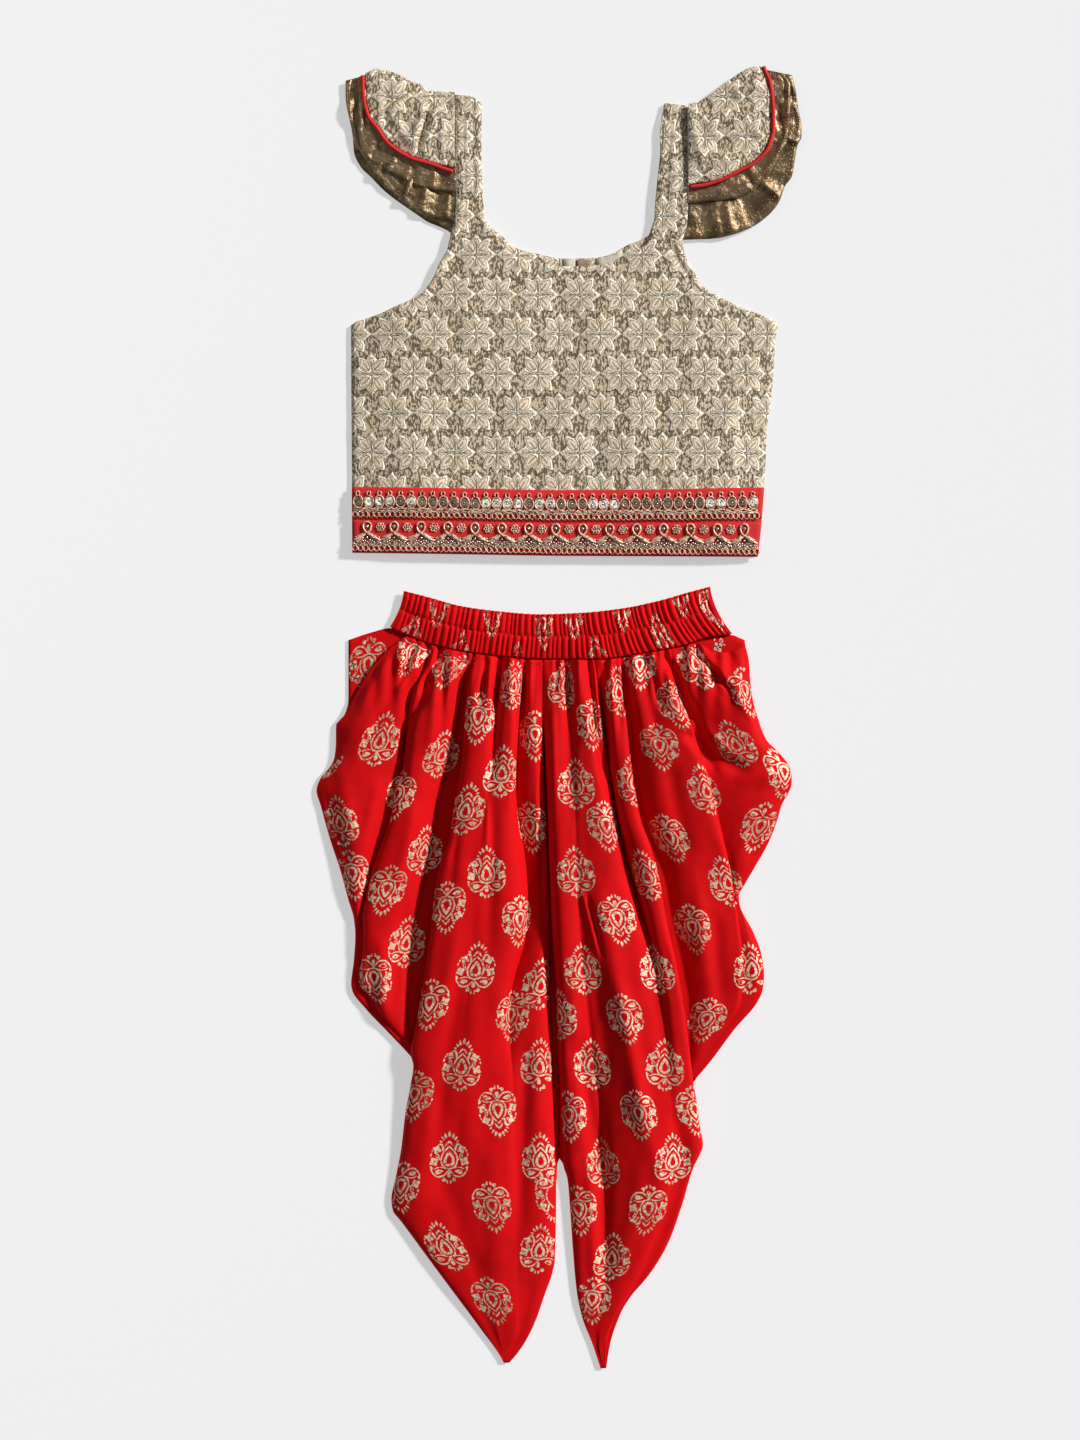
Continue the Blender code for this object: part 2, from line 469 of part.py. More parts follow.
def tier(name, material, fold, hem, base, swell, waves, depth, wall, below, steps, start=0.0):
    """One tier of a sleeve: a fan from the shoulder fold to its hem, with waves that grow towards the hem."""
    count = max(3 * waves + 1, 15)
    head = along(fold, count)
    tail = along(hem, count)
    s = np.linspace(0, 1, count)[None, :]
    t = np.linspace(start, 1, steps)[:, None]
    grid = np.zeros((steps, count, 3))
    for k in range(2):
        grid[:, :, k] = head[None, :, k] * (1 - t) + tail[None, :, k] * t
    wave = np.cos(2 * math.pi * waves * s + 0.7 * np.sin(5 * s))
    hump = np.sin(math.pi * np.clip(t, 0, 1)) ** 0.8
    ends = smooth(s / 0.12) * smooth((1 - s) / 0.10)
    grid[:, :, 2] = base + swell * hump * (0.35 + 0.65 * ends) + depth * wave * t * ends
    return lay(name, material, grid, wall, below, 2.0)


def rope(name, material, centre, radius, sides=6):
    """A round cord along a list of points."""
    centre = np.asarray(centre, float)
    ahead = np.gradient(centre, axis=0)
    ahead /= np.linalg.norm(ahead, axis=1)[:, None]
    up = np.array([0.0, 0.0, 1.0])
    points, faces = [], []
    for p, d in zip(centre, ahead):
        out = np.cross(d, up)
        out /= np.linalg.norm(out)
        over = np.cross(out, d)
        for k in range(sides):
            a = 2 * math.pi * k / sides
            points.append(p + radius * (math.cos(a) * out + math.sin(a) * over))
    count = len(centre)
    for i in range(count - 1):
        for k in range(sides):
            a = i * sides + k
            b = i * sides + (k + 1) % sides
            faces += [(a, b, b + sides), (a, b + sides, a + sides)]
    faces.append(tuple(reversed(range(sides))))
    faces.append(tuple((count - 1) * sides + k for k in range(sides)))
    return solid(name, material, np.array(points) * MM, faces)


def edge_heights(name, line, reach):
    """How high the piece stands along a line."""
    cover = Cover([name])
    return [cover.height(p[0], p[1], reach) for p in line]


def sleeve(side, fold, cap, inner, outer, under, strap_in):
    """One sleeve: the half underneath, two bronze tiers, the brocade cap and the piping on its edge."""
    low_half = f"{side}_sleeve_under"
    outer_tier = f"{side}_ruffle_outer"
    inner_tier = f"{side}_ruffle_inner"
    top_cap = f"{side}_sleeve_cap"
    shift = 0.6 if side == "left" else -0.6
    inset_fold = [(p[0] + shift, p[1] - 1.2) for p in fold]
    tier(low_half, BRONZE, inset_fold, under, BACK, 0, 4, 0, BACK, [], 4)
    tier(outer_tier, BRONZE, [(p[0] + shift, p[1] - 0.8) for p in fold], outer, 3.0, 0.6, 7, 0.5, CLOTH, [low_half], 4)
    tier(inner_tier, BRONZE, [(p[0] + shift / 2, p[1] - 0.4) for p in fold], inner, 4.8, 0.7, 6, 0.5, CLOTH,
         [low_half, outer_tier], 4)
    tier(top_cap, BROCADE, fold, cap, 6.6, 1.4, 5, 0.4, CLOTH, [low_half, outer_tier, inner_tier], 4)
    line = along(cap, 26)
    ahead = np.gradient(line, axis=0)
    outward = np.stack([ahead[:, 1], -ahead[:, 0]], axis=1) / np.linalg.norm(ahead, axis=1)[:, None]
    middle = (np.mean(fold, axis=0) + np.mean(cap, axis=0)) / 2
    if np.sum((line - middle) * outward) < 0:
        outward = -outward
    line = line + outward * (PIPING_RADIUS + 2 * GAP)
    below = Cover([low_half, outer_tier, inner_tier])
    heights = [below.height(p[0], p[1], PIPING_RADIUS + 1.2) for p in line]
    heights = np.maximum(heights, np.convolve(np.pad(heights, 2, mode="edge"), np.ones(5) / 5, mode="valid"))
    centre = np.column_stack([line, heights + GAP + PIPING_RADIUS])
    rope(f"{side}_sleeve_piping", PLAIN_RED, centre, PIPING_RADIUS)


PIPING_RADIUS = 1.45


def waistband():
    """The gathered elastic band: casing gathers in two rows with a stitched line between them."""
    gathers = 56
    depths = [0.2, 1.0, 0.8, 0.8, 1.0, 0.15]
    downs = [0.0, 0.14, 0.44, 0.56, 0.86, 1.0]
    columns = 2 * gathers + 1
    top = np.zeros((len(downs), columns, 3))
    bottom = np.zeros((len(downs), columns))
    for j in range(columns):
        u = j / (columns - 1)
        free = min(1.0, 8 * u, 8 * (1 - u))
        for i, (v, deep) in enumerate(zip(downs, depths)):
            lean = 0.35 * (v - 0.5) * math.sin(9 * u + (2.0 if v > 0.5 else 0.0))
            shift = (0.34 * wobble(j, 1) + lean) / (columns - 1) * free
            w = u + shift
            high = (WAIST_TOP[0][0] + (WAIST_TOP[-1][0] - WAIST_TOP[0][0]) * w)
            low = (SEAM[0][0] + (SEAM[-1][0] - SEAM[0][0]) * w)
            y_high = float(curve([p[0] for p in WAIST_TOP], [p[1] for p in WAIST_TOP], high))
            y_low = float(curve([p[0] for p in SEAM], [p[1] for p in SEAM], low))
            flare = 0.25 * v + 0.75 * v * v
            rounded = 1 - (2 * u - 1) ** 8
            crest = 1 if j % 2 else -1
            size = 0.75 + 0.45 * wobble(j, 2 + (v > 0.5))
            middle = BACK + 1.0 + GAP + 2.3 + 1.9 * rounded * math.sin(math.pi * (0.12 + 0.76 * v)) ** 0.6
            top[i, j] = (high + (low - high) * flare, y_high + (y_low - y_high) * v, middle + 0.85 * deep * crest * size * free)
            bottom[i, j] = middle - BAND
    slab("waistband_front", PRINT_RED, top, bottom)
    columns = 29
    downs = [0.0, 0.5, 1.0]
    top = np.zeros((3, columns, 3))
    for j in range(columns):
        u = j / (columns - 1)
        for i, v in enumerate(downs):
            high = -111 + (108 + 111) * u
            low = -121 + (124 + 121) * u
            y_high = float(curve([p[0] for p in WAIST_TOP], [p[1] for p in WAIST_TOP], high)) - 0.8
            y_low = float(curve([p[0] for p in SEAM], [p[1] for p in SEAM], low))
            flare = 0.25 * v + 0.75 * v * v
            top[i, j] = (high + (low - high) * flare, y_high + (y_low - y_high) * v, BACK + 0.6)
    slab("waistband_back", PRINT_RED, top, top[:, :, 2] * 0)


def pants():
    left_seam = LEFT_FLAP_TOP + SEAM
    right_seam = SEAM + RIGHT_FLAP_TOP
    centre = [(-0.2, 42), (-0.2, -319)]
    lines = flat_lines(LEFT_OUTLINE, centre + [(p[0] + 0.8, p[1]) for p in LEFT_INSEAM], 1.0)
    grid = folded(lines, left_seam, 42, -30, [9], 22, 5)
    slab("left_leg_back", PRINT_RED, grid, grid[:, :, 2] * 0)
    centre = [(0.2, 42), (0.2, -319)]
    lines = flat_lines(centre + [(p[0] - 0.8, p[1]) for p in RIGHT_INSEAM], RIGHT_OUTLINE, 1.0)
    grid = folded(lines, right_seam, 42, -30, [9], 22, 5)
    slab("right_leg_back", PRINT_RED, grid, grid[:, :, 2] * 0)
    backs = ["left_leg_back", "right_leg_back"]
    grid = folded(LEFT_DRAPE, SEAM, 42, -30, [3, 3, 3, 3, 1], 18, 7)
    lay("left_side_drape", PRINT_RED, grid, CLOTH, backs)
    grid = folded(RIGHT_DRAPE, RIGHT_DRAPE_TOP, 42, -30, [1, 3, 2, 2, 3, 3], 18, 7)
    lay("right_side_drape", PRINT_RED, grid, CLOTH, backs)
    grid = folded(LEFT_LEG, SEAM, 42, -30, [4, 2, 2, 3, 3, 3], 22, 9)
    lay("left_leg_front", PRINT_RED, grid, CLOTH, backs + ["left_side_drape"])
    grid = folded(RIGHT_LEG, SEAM, 42, -30, [3, 2, 2, 3, 3, 4], 22, 9)
    lay("right_leg_front", PRINT_RED, grid, CLOTH, backs + ["right_side_drape"])


def top():
    side = [0, 0.05, 0.4, 0.7, 1]
    middle = [1.02, 1.06, 1.12, 1.2, 1.32, 1.44, 1.56, 1.68, 1.8, 1.88, 1.94, 1.98]
    columns = side + middle + [2, 2.3, 2.6, 2.95, 3]
    back_split = (CENTRE_BACK + 54) / 123 + 1
    share = 0.2 / 123
    rows = torso_rows(BAND_Y + GAP, 447, 30)
    left_columns = side + [c for c in middle if c < back_split - 0.03] + [back_split - share]
    right_columns = [back_split + share] + [c for c in middle if c > back_split + 0.03] + [2, 2.3, 2.6, 2.95, 3]
    for name, chosen in (("top_back_left", left_columns), ("top_back_right", right_columns)):
        grid = torso(rows, chosen, 1.0, 6.0)
        grid[:, :, 2] = BACK
        slab(name, BROCADE, grid, grid[:, :, 2] * 0, torso_kept(rows, chosen))
    wide = [0, 0.5, 1, 1.25, 1.5, 1.75, 2, 2.5, 3]
    grid = torso(np.array([HEM_Y, 141, BAND_Y], float), wide, 1.0, 0.0)
    grid[:, :, 2] = BACK
    slab("hem_band_back", PLAIN_RED, grid, grid[:, :, 2] * 0)
    xs = np.array([CENTRE_BACK - 1.0, CENTRE_BACK + PLACKET_WIDTH - 1.0])
    ys = np.linspace(HEM_Y + 1, 330, 6)
    grid = np.zeros((6, 2, 3))
    grid[:, :, 0] = xs[None, :]
    grid[:, :, 1] = ys[:, None]
    grid[:, :, 2] = BACK + GAP + STRIP
    slab("back_placket", FACING, grid, grid[:, :, 2] * 0 + BACK + GAP)
    rows = torso_rows(HEM_Y, 447, 42)
    grid = torso(rows, columns, 0.0, 0.0)
    grid[:, :, 2] = front_height(grid[:, :, 0], grid[:, :, 1])
    slab("top_front", BROCADE, grid, grid[:, :, 2] - CLOTH, torso_kept(rows, columns))
    wide = [c for c in columns if c < 1.001 or c > 1.999] + [1.2, 1.4, 1.6, 1.8]
    wide = sorted(wide)
    rise = GAP + STRIP
    strip("hem_band_front", PLAIN_RED, HEM_Y - 1, BAND_Y, rise, wide, STRIP)
    for name, low, high in TRIM_ROWS:
        strip(name, TRIM, low, high, 2 * rise, wide, STRIP)


def material(name, colour, roughness, metallic):
    made = bpy.data.materials.new(name)
    made.use_nodes = True
    shader = made.node_tree.nodes["Principled BSDF"]
    shader.inputs["Base Color"].default_value = (*colour, 1)
    shader.inputs["Roughness"].default_value = roughness
    shader.inputs["Metallic"].default_value = metallic


def build():
    for old in list(bpy.data.objects):
        bpy.data.objects.remove(old)
    material(PRINT_RED, (0.55, 0.01, 0.012), 0.8, 0.0)
    material(BROCADE, (0.58, 0.49, 0.32), 0.6, 0.0)
    material(BRONZE, (0.20, 0.13, 0.06), 0.4, 0.5)
    material(PLAIN_RED, (0.62, 0.02, 0.015), 0.75, 0.0)
    material(TRIM, (0.55, 0.38, 0.18), 0.45, 0.4)
    material(FACING, (0.12, 0.06, 0.03), 0.8, 0.0)
    top()
    sleeve("left", LEFT_FOLD, LEFT_CAP, LEFT_INNER, LEFT_OUTER, LEFT_UNDER, None)
    sleeve("right", RIGHT_FOLD, RIGHT_CAP, RIGHT_INNER, RIGHT_OUTER, RIGHT_UNDER, None)
    waistband()
    pants()


build()
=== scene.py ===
"""The looks of a child's dhoti pants set laid flat: brocade top with tiered sleeves, and printed dhoti pants."""

import math

import bpy
import numpy as np
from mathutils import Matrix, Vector
from mathutils.bvhtree import BVHTree


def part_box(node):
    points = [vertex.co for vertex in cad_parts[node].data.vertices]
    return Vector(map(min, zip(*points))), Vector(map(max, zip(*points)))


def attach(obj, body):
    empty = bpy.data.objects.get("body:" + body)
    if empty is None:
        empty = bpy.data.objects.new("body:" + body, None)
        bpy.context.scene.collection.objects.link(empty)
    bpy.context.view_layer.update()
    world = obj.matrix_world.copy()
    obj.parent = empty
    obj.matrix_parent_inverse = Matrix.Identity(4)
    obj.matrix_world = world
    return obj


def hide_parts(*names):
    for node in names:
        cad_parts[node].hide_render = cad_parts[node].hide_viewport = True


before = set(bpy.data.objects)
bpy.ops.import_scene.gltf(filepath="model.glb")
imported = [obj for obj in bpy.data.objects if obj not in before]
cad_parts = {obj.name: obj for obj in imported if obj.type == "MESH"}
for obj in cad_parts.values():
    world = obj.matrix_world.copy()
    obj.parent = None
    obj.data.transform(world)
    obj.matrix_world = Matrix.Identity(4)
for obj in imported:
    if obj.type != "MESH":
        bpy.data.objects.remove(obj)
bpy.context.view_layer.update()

MM = 0.001
SKIN = 0.55  # how thick a sheet of cloth is drawn
UP = np.array([0.0, 0.0, 1.0])
SEAM_GAP = 0.8

# The waist seam and the free top edges beside it, x then y.
SEAM = [(-122, 65), (-114, 61), (-93, 53), (-71, 48), (-42, 44), (-14, 42), (30, 42), (58, 46),
        (87, 51), (109, 58), (125, 60)]
WAIST_TOP = [(-112, 91), (-93, 86), (-71, 80), (-42, 76), (-14, 74), (15, 75), (44, 78), (73, 84),
             (94, 90), (109, 94)]
LEFT_FLAP_TOP = [(-153, 56), (-135, 62)]
RIGHT_FLAP_TOP = [(130, 58), (135, 56)]
RIGHT_DRAPE_TOP = [(34, 42), (58, 46), (87, 51), (100, 54), (106, 51), (113, 47), (123, 48), (134, 53)]

# Each fold line is a list of x, y, z from the waist down. A low line is a valley or an edge, a high one a crest.
LEFT_OUTLINE = [
    (-153, 56), (-153, 12), (-156, 1), (-161, -6), (-161, -17), (-162, -29), (-166, -37), (-172, -44),
    (-175, -53), (-172, -64), (-165, -89), (-158, -110), (-152, -132), (-148, -146), (-147, -157),
    (-148, -175), (-150, -193), (-149, -198), (-140, -210), (-122, -229), (-107, -245), (-105, -251),
    (-107, -265), (-111, -287), (-114, -312), (-118, -333), (-121, -348), (-120, -356), (-114, -364),
    (-86, -402), (-57, -441), (-42, -462), (-40, -466),
]
RIGHT_OUTLINE = [
    (135, 56), (137, 41), (138, 27), (140, 12), (143, 1), (150, -17), (158, -25), (164, -32), (168, -40),
    (168, -48), (166, -54), (161, -63), (157, -76), (152, -89), (141, -109), (134, -121), (130, -129),
    (130, -132), (141, -157), (146, -171), (148, -186), (147, -197), (143, -206), (127, -225), (109, -249),
    (98, -264), (96, -267), (99, -276), (102, -297), (104, -309), (102, -315), (96, -326), (89, -351),
    (80, -377), (69, -397), (58, -411), (51, -418), (43, -434), (37, -452), (34, -470),
]
LEFT_INSEAM = [(-2, -323), (-2, -341), (-3, -392), (-5, -402), (-10, -416), (-17, -436), (-25, -452), (-36, -466)]
RIGHT_INSEAM = [(3, -323), (6, -333), (8, -355), (10, -384), (13, -416), (17, -434), (24, -452), (30, -470)]

LEFT_DRAPE = [
    ("low", [(-111, 58, 4), (-118, 53, 4), (-127, 45, 4), (-136, 35, 4), (-149, 12, 4), (-155, 1, 4),
             (-161, -6, 3), (-161, -17, 3), (-162, -29, 3), (-166, -37, 3), (-172, -44, 3), (-175, -53, 3),
             (-172, -64, 3), (-165, -89, 3), (-158, -110, 3), (-152, -132, 3), (-148, -146, 3),
             (-147, -157, 3), (-148, -175, 3), (-150, -193, 3), (-149, -198, 3), (-140, -210, 3),
             (-122, -229, 3), (-107, -245, 3), (-98, -256, 3)]),
    ("high", [(-104, 56, 7), (-118, 25, 10), (-134, -8, 10), (-146, -45, 9), (-148, -70, 9), (-147, -95, 9),
              (-145, -120, 8), (-145, -140, 6), (-144, -157, 4), (-145, -175, 4), (-146, -193, 4),
              (-144, -198, 4), (-136, -210, 4), (-119, -229, 4), (-104, -245, 4), (-96, -256, 3)]),
    ("low", [(-89, 52, 5), (-98, 32, 4), (-107, 12, 3), (-110, -12, 3), (-113, -38, 3), (-118, -53, 4),
             (-121, -74, 4), (-128, -92, 4), (-135, -110, 3), (-139, -128, 3), (-142, -143, 3),
             (-141, -157, 4), (-142, -175, 4), (-143, -193, 4), (-140, -198, 4), (-132, -210, 4),
             (-116, -229, 4), (-102, -245, 4), (-95, -256, 3)]),
    ("high", [(-76, 49, 9), (-88, 20, 12), (-95, -5, 13), (-100, -30, 12), (-105, -55, 12), (-112, -80, 12),
              (-118, -105, 11), (-124, -130, 11), (-129, -157, 10), (-130, -175, 10), (-129, -193, 9),
              (-127, -203, 8), (-122, -214, 7), (-113, -229, 5), (-100, -245, 4), (-94, -256, 3)]),
    ("low", [(-63, 45, 4), (-68, 25, 3), (-72, 0, 3), (-77, -27, 3), (-84, -48, 3), (-88, -62, 3),
             (-91, -83, 3), (-96, -112, 3), (-101, -134, 3), (-106, -162, 3), (-109, -190, 3),
             (-109, -214, 3), (-106, -233, 3), (-98, -247, 3), (-93, -256, 3)]),
    ("low", [(-53, 44, 3), (-53, 25, 3), (-54, 0, 3), (-55, -27, 3), (-59, -48, 3), (-62, -62, 3),
             (-66, -89, 3), (-72, -104, 3), (-77, -125, 3), (-80, -146, 3), (-85, -182, 3), (-91, -218, 3),
             (-91, -243, 3), (-88, -256, 3)]),
]
LEFT_LEG = [
    ("low", [(-60, 45, 5), (-64, 27, 5), (-66, 10, 5), (-68, -9, 5), (-69, -27, 5), (-71, -42, 5),
             (-74, -60, 5), (-78, -89, 5), (-84, -103, 5), (-89, -125, 5), (-91, -146, 5), (-96, -182, 5),
             (-102, -218, 5), (-107, -243, 5), (-105, -251, 5), (-107, -265, 4), (-111, -287, 3),
             (-114, -312, 3), (-118, -333, 3), (-121, -348, 3), (-120, -356, 3), (-114, -364, 3),
             (-86, -402, 3), (-57, -441, 3), (-42, -462, 3), (-40, -466, 3)]),
    ("high", [(-50, 44, 10), (-53, 10, 14), (-56, -27, 15), (-62, -60, 15), (-68, -89, 15), (-76, -125, 14),
              (-80, -160, 14), (-85, -200, 13), (-90, -240, 12), (-92, -275, 10), (-95, -310, 9),
              (-98, -345, 8), (-94, -364, 7), (-75, -402, 6), (-51, -441, 4), (-41, -462, 3), (-39, -466, 3)]),
    ("mid", [(-43, 43, 9), (-45, 10, 12), (-47, -27, 13), (-52, -60, 13), (-56, -89, 14), (-60, -125, 14),
             (-62, -160, 13), (-66, -200, 12), (-70, -240, 11), (-71, -275, 10), (-72, -310, 9),
             (-72, -345, 8), (-70, -364, 8), (-60, -402, 6), (-45, -441, 5), (-40, -462, 3), (-39, -466, 3)]),
    ("high", [(-35, 42, 10), (-37, 10, 14), (-39, -27, 15), (-42, -60, 15), (-43, -89, 15), (-42, -125, 15),
              (-43, -160, 14), (-50, -200, 13), (-52, -240, 11), (-51, -275, 10), (-49, -310, 10),
              (-46, -345, 9), (-44, -364, 8), (-42, -402, 7), (-38, -441, 5), (-39, -462, 3), (-38, -466, 3)]),
    ("low", [(-26, 42, 6), (-28, 12, 4), (-30, -17, 3), (-31, -45, 3), (-29, -75, 3), (-25, -96, 3),
             (-22, -132, 3), (-24, -160, 3), (-31, -182, 4), (-35, -200, 5), (-36, -220, 6), (-35, -240, 7),
             (-33, -261, 8), (-32, -300, 8), (-30, -350, 8), (-30, -402, 6), (-31, -441, 5), (-38, -462, 3),
             (-37, -466, 3)]),
    ("high", [(-19, 42, 8), (-18, 10, 9), (-17, -31, 10), (-15, -70, 9), (-13, -100, 6), (-11, -132, 5),
              (-13, -160, 7), (-14, -185, 9), (-17, -210, 9), (-19, -240, 9), (-18, -276, 9), (-16, -310, 8),
              (-15, -350, 8), (-15, -385, 7), (-19, -416, 5), (-25, -441, 4), (-36, -462, 3), (-37, -466, 3)]),
    ("low", [(-12, 42, 7), (-12, 0, 7), (-11, -31, 6), (-9, -81, 5), (-7, -132, 3), (-6, -160, 3),
             (-7, -204, 3), (-5, -240, 3), (-4, -276, 3), (-3, -310, 3), (-2, -341, 3), (-3, -392, 3),
             (-5, -402, 3), (-10, -416, 3), (-17, -436, 3), (-25, -452, 3), (-34, -464, 3), (-36, -466, 3)]),
]
RIGHT_LEG = [
    ("low", [(-11, 42, 7), (-11, 0, 7), (-10, -31, 6), (-8, -81, 5), (-6, -132, 4), (-4, -175, 4),
             (-2, -204, 3), (-1, -240, 3), (1, -276, 3), (2, -300, 3), (3, -323, 3), (6, -333, 3),
             (8, -355, 3), (10, -384, 3), (13, -416, 3), (17, -434, 3), (24, -452, 3), (30, -470, 3)]),
    ("high", [(-3, 42, 8), (-2, 0, 10), (-1, -31, 12), (1, -81, 14), (3, -132, 15), (5, -175, 14),
              (7, -204, 12), (8, -240, 10), (11, -276, 9), (13, -310, 8), (16, -341, 7), (18, -384, 6),
              (19, -416, 5), (22, -434, 4), (27, -452, 3), (31, -470, 3)]),
    ("mid", [(8, 42, 8), (10, 0, 9), (11, -31, 11), (12, -81, 12), (14, -132, 12), (17, -175, 11),
             (20, -204, 9), (24, -240, 7), (29, -276, 5), (32, -310, 5), (34, -341, 5), (34, -384, 5),
             (31, -416, 4), (29, -434, 4), (29, -452, 4), (32, -470, 3)]),
    ("high", [(17, 42, 10), (21, 0, 13), (23, -31, 14), (27, -60, 15), (31, -90, 15), (36, -132, 15),
              (42, -175, 15), (47, -204, 14), (54, -240, 13), (61, -276, 13), (66, -310, 12),
              (66, -341, 11), (57, -384, 8), (44, -416, 6), (38, -434, 5), (32, -452, 4), (32, -470, 3)]),
    ("low", [(25, 42, 5), (30, 5, 3), (34, -25, 3), (39, -60, 3), (46, -96, 3), (56, -128, 5),
             (66, -160, 8), (72, -190, 10), (76, -215, 10), (79, -245, 11), (80, -276, 11), (82, -310, 10),
             (79, -341, 9), (66, -384, 6), (50, -416, 5), (40, -434, 4), (34, -452, 4), (33, -470, 3)]),
    ("high", [(36, 42, 9), (38, 20, 12), (42, -5, 13), (47, -38, 14), (53, -74, 15), (61, -96, 15),
              (67, -120, 15), (72, -146, 15), (80, -182, 14), (85, -211, 13), (89, -247, 12),
              (91, -276, 10), (95, -310, 8), (88, -341, 7), (72, -384, 5), (53, -416, 4), (41, -434, 4),
              (35, -452, 3), (33, -470, 3)]),
    ("low", [(45, 43, 5), (45, 19, 5), (48, -2, 5), (51, -38, 5), (58, -74, 5), (66, -96, 5), (71, -117, 5),
             (76, -146, 5), (84, -182, 5), (89, -211, 5), (94, -247, 5), (97, -265, 5), (99, -276, 4),
             (102, -297, 3), (104, -309, 3), (102, -315, 3), (96, -326, 3), (89, -351, 3), (80, -377, 3),
             (69, -397, 3), (58, -411, 3), (51, -418, 3), (43, -434, 3), (37, -452, 3), (34, -470, 3)]),
]
RIGHT_DRAPE = [
    ("low", [(34, 42, 3), (34, 19, 3), (36, -2, 3), (39, -38, 3), (45, -74, 3), (53, -96, 3), (58, -117, 3),
             (63, -146, 3), (71, -182, 3), (77, -211, 3), (82, -247, 3), (88, -262, 3)]),
    ("low", [(48, 43, 4), (49, 19, 3), (52, -2, 3), (56, -38, 3), (63, -74, 3), (72, -96, 3), (78, -117, 3),
             (84, -146, 3), (91, -182, 3), (95, -211, 3), (95, -247, 3), (93, -262, 3)]),
    ("high", [(60, 46, 7), (64, 19, 9), (69, -8, 10), (76, -38, 11), (83, -70, 11), (92, -96, 10),
              (99, -117, 9), (105, -146, 9), (110, -182, 8), (112, -205, 8), (106, -230, 6), (99, -250, 4),
              (95, -262, 3)]),
    ("high", [(71, 48, 9), (78, 25, 11), (88, -4, 12), (96, -31, 12), (102, -53, 12), (109, -81, 11),
              (115, -100, 9), (122, -120, 7), (126, -146, 7), (128, -182, 8), (126, -205, 7), (115, -228, 5),
              (102, -249, 4), (95, -262, 3)]),
    ("low", [(80, 50, 6), (86, 18, 5), (97, -12, 4), (104, -33, 5), (110, -55, 6), (117, -83, 5),
             (122, -102, 4), (125, -121, 4), (129, -146, 6), (133, -182, 6), (131, -205, 5), (118, -226, 4),
             (104, -248, 4), (95, -262, 3)]),
    ("high", [(103, 53, 8), (116, 25, 10), (128, 4, 10), (139, -18, 9), (146, -40, 9), (143, -62, 9),
              (138, -83, 8), (130, -105, 7), (127, -124, 5), (134, -150, 6), (140, -182, 6), (138, -200, 5),
              (122, -224, 4), (106, -247, 4), (96, -262, 3)]),
    ("low", [(134, 53, 4), (137, 41, 3), (138, 27, 3), (140, 12, 3), (143, 1, 3), (150, -17, 3),
             (158, -25, 3), (164, -32, 3), (168, -40, 3), (168, -48, 3), (166, -54, 3), (161, -63, 3),
             (157, -76, 3), (152, -89, 3), (141, -109, 3), (134, -121, 3), (130, -129, 3), (130, -132, 3),
             (141, -157, 3), (146, -171, 3), (148, -186, 3), (147, -197, 3), (143, -206, 3), (127, -225, 3),
             (109, -249, 3), (98, -262, 3)]),
]

# The top: both outer edges from the hem up, then the strap's inner edges and the front neckline.
TOP_LEFT = [(-149, 116), (-150, 284), (-140, 287), (-129, 291), (-114, 298), (-104, 302), (-96, 309),
            (-91, 316), (-86, 328), (-81, 336), (-78, 348), (-76, 354), (-74, 369), (-74, 394), (-75, 405),
            (-75, 447)]
TOP_RIGHT = [(143, 116), (146, 142), (148, 167), (149, 185), (150, 207), (153, 228), (155, 253), (156, 271),
             (158, 284), (148, 289), (138, 293), (123, 299), (112, 305), (102, 312), (98, 320), (93, 328),
             (90, 336), (89, 343), (92, 354), (93, 372), (93, 447)]
STRAP_LEFT_IN = [(-54, 116), (-54, 361), (-55, 379), (-56, 408), (-56, 447)]
STRAP_RIGHT_IN = [(69, 116), (69, 361), (71, 387), (73, 408), (73, 423), (76, 447)]
NECK = [(-54, 361), (-50, 354), (-46, 348), (-42, 344), (-39, 339), (-32, 333), (-24, 330), (-14, 328), (1, 325),
        (15, 325), (30, 326), (40, 329), (50, 335), (58, 338), (65, 343), (67, 349), (69, 361)]
STRAP_TOPS = [(-76, 449), (-64, 448), (-56, 444), (73, 443), (93, 441)]
HEM_Y = 116
BAND_Y = 166  # the hem band's upper edge
CENTRE_BACK = 14  # where the two back halves meet
PLACKET_WIDTH = 10
TRIM_ROWS = [("trim_upper", 145, 163), ("trim_lower", 119, 142)]  # name, lower and upper y

# The sleeves lie folded at the shoulder: the fold, then each tier's lower edge, all from the outer corner in.
LEFT_FOLD = [(-139, 464), (-132, 467), (-125, 466), (-114, 462), (-107, 458), (-100, 456), (-93, 451), (-76, 450)]
LEFT_CAP = [(-140, 462), (-140, 455), (-139, 444), (-136, 433), (-130, 425), (-123, 415), (-114, 408),
            (-104, 403), (-93, 400), (-82, 396), (-76, 394)]
LEFT_INNER = [(-145, 461), (-145, 445), (-145, 430), (-142, 408), (-136, 401), (-125, 394), (-114, 389),
              (-104, 383), (-93, 380), (-82, 378), (-76, 377)]
LEFT_OUTER = [(-154, 459), (-154, 448), (-150, 426), (-148, 415), (-143, 407), (-138, 400), (-132, 390),
              (-125, 381), (-114, 372), (-96, 361), (-79, 356)]
LEFT_UNDER = [(-151, 458), (-151, 440), (-149, 423), (-148, 408), (-143, 397), (-136, 390), (-125, 379),
              (-100, 361), (-93, 356), (-86, 351), (-79, 348)]
RIGHT_FOLD = [(144, 469), (138, 468), (130, 464), (123, 459), (116, 454), (110, 449), (100, 443), (94, 441)]
RIGHT_CAP = [(146, 468), (148, 463), (150, 459), (152, 448), (153, 437), (153, 423), (151, 415), (148, 408),
             (143, 403), (138, 399), (130, 395), (116, 388), (102, 384), (94, 383)]
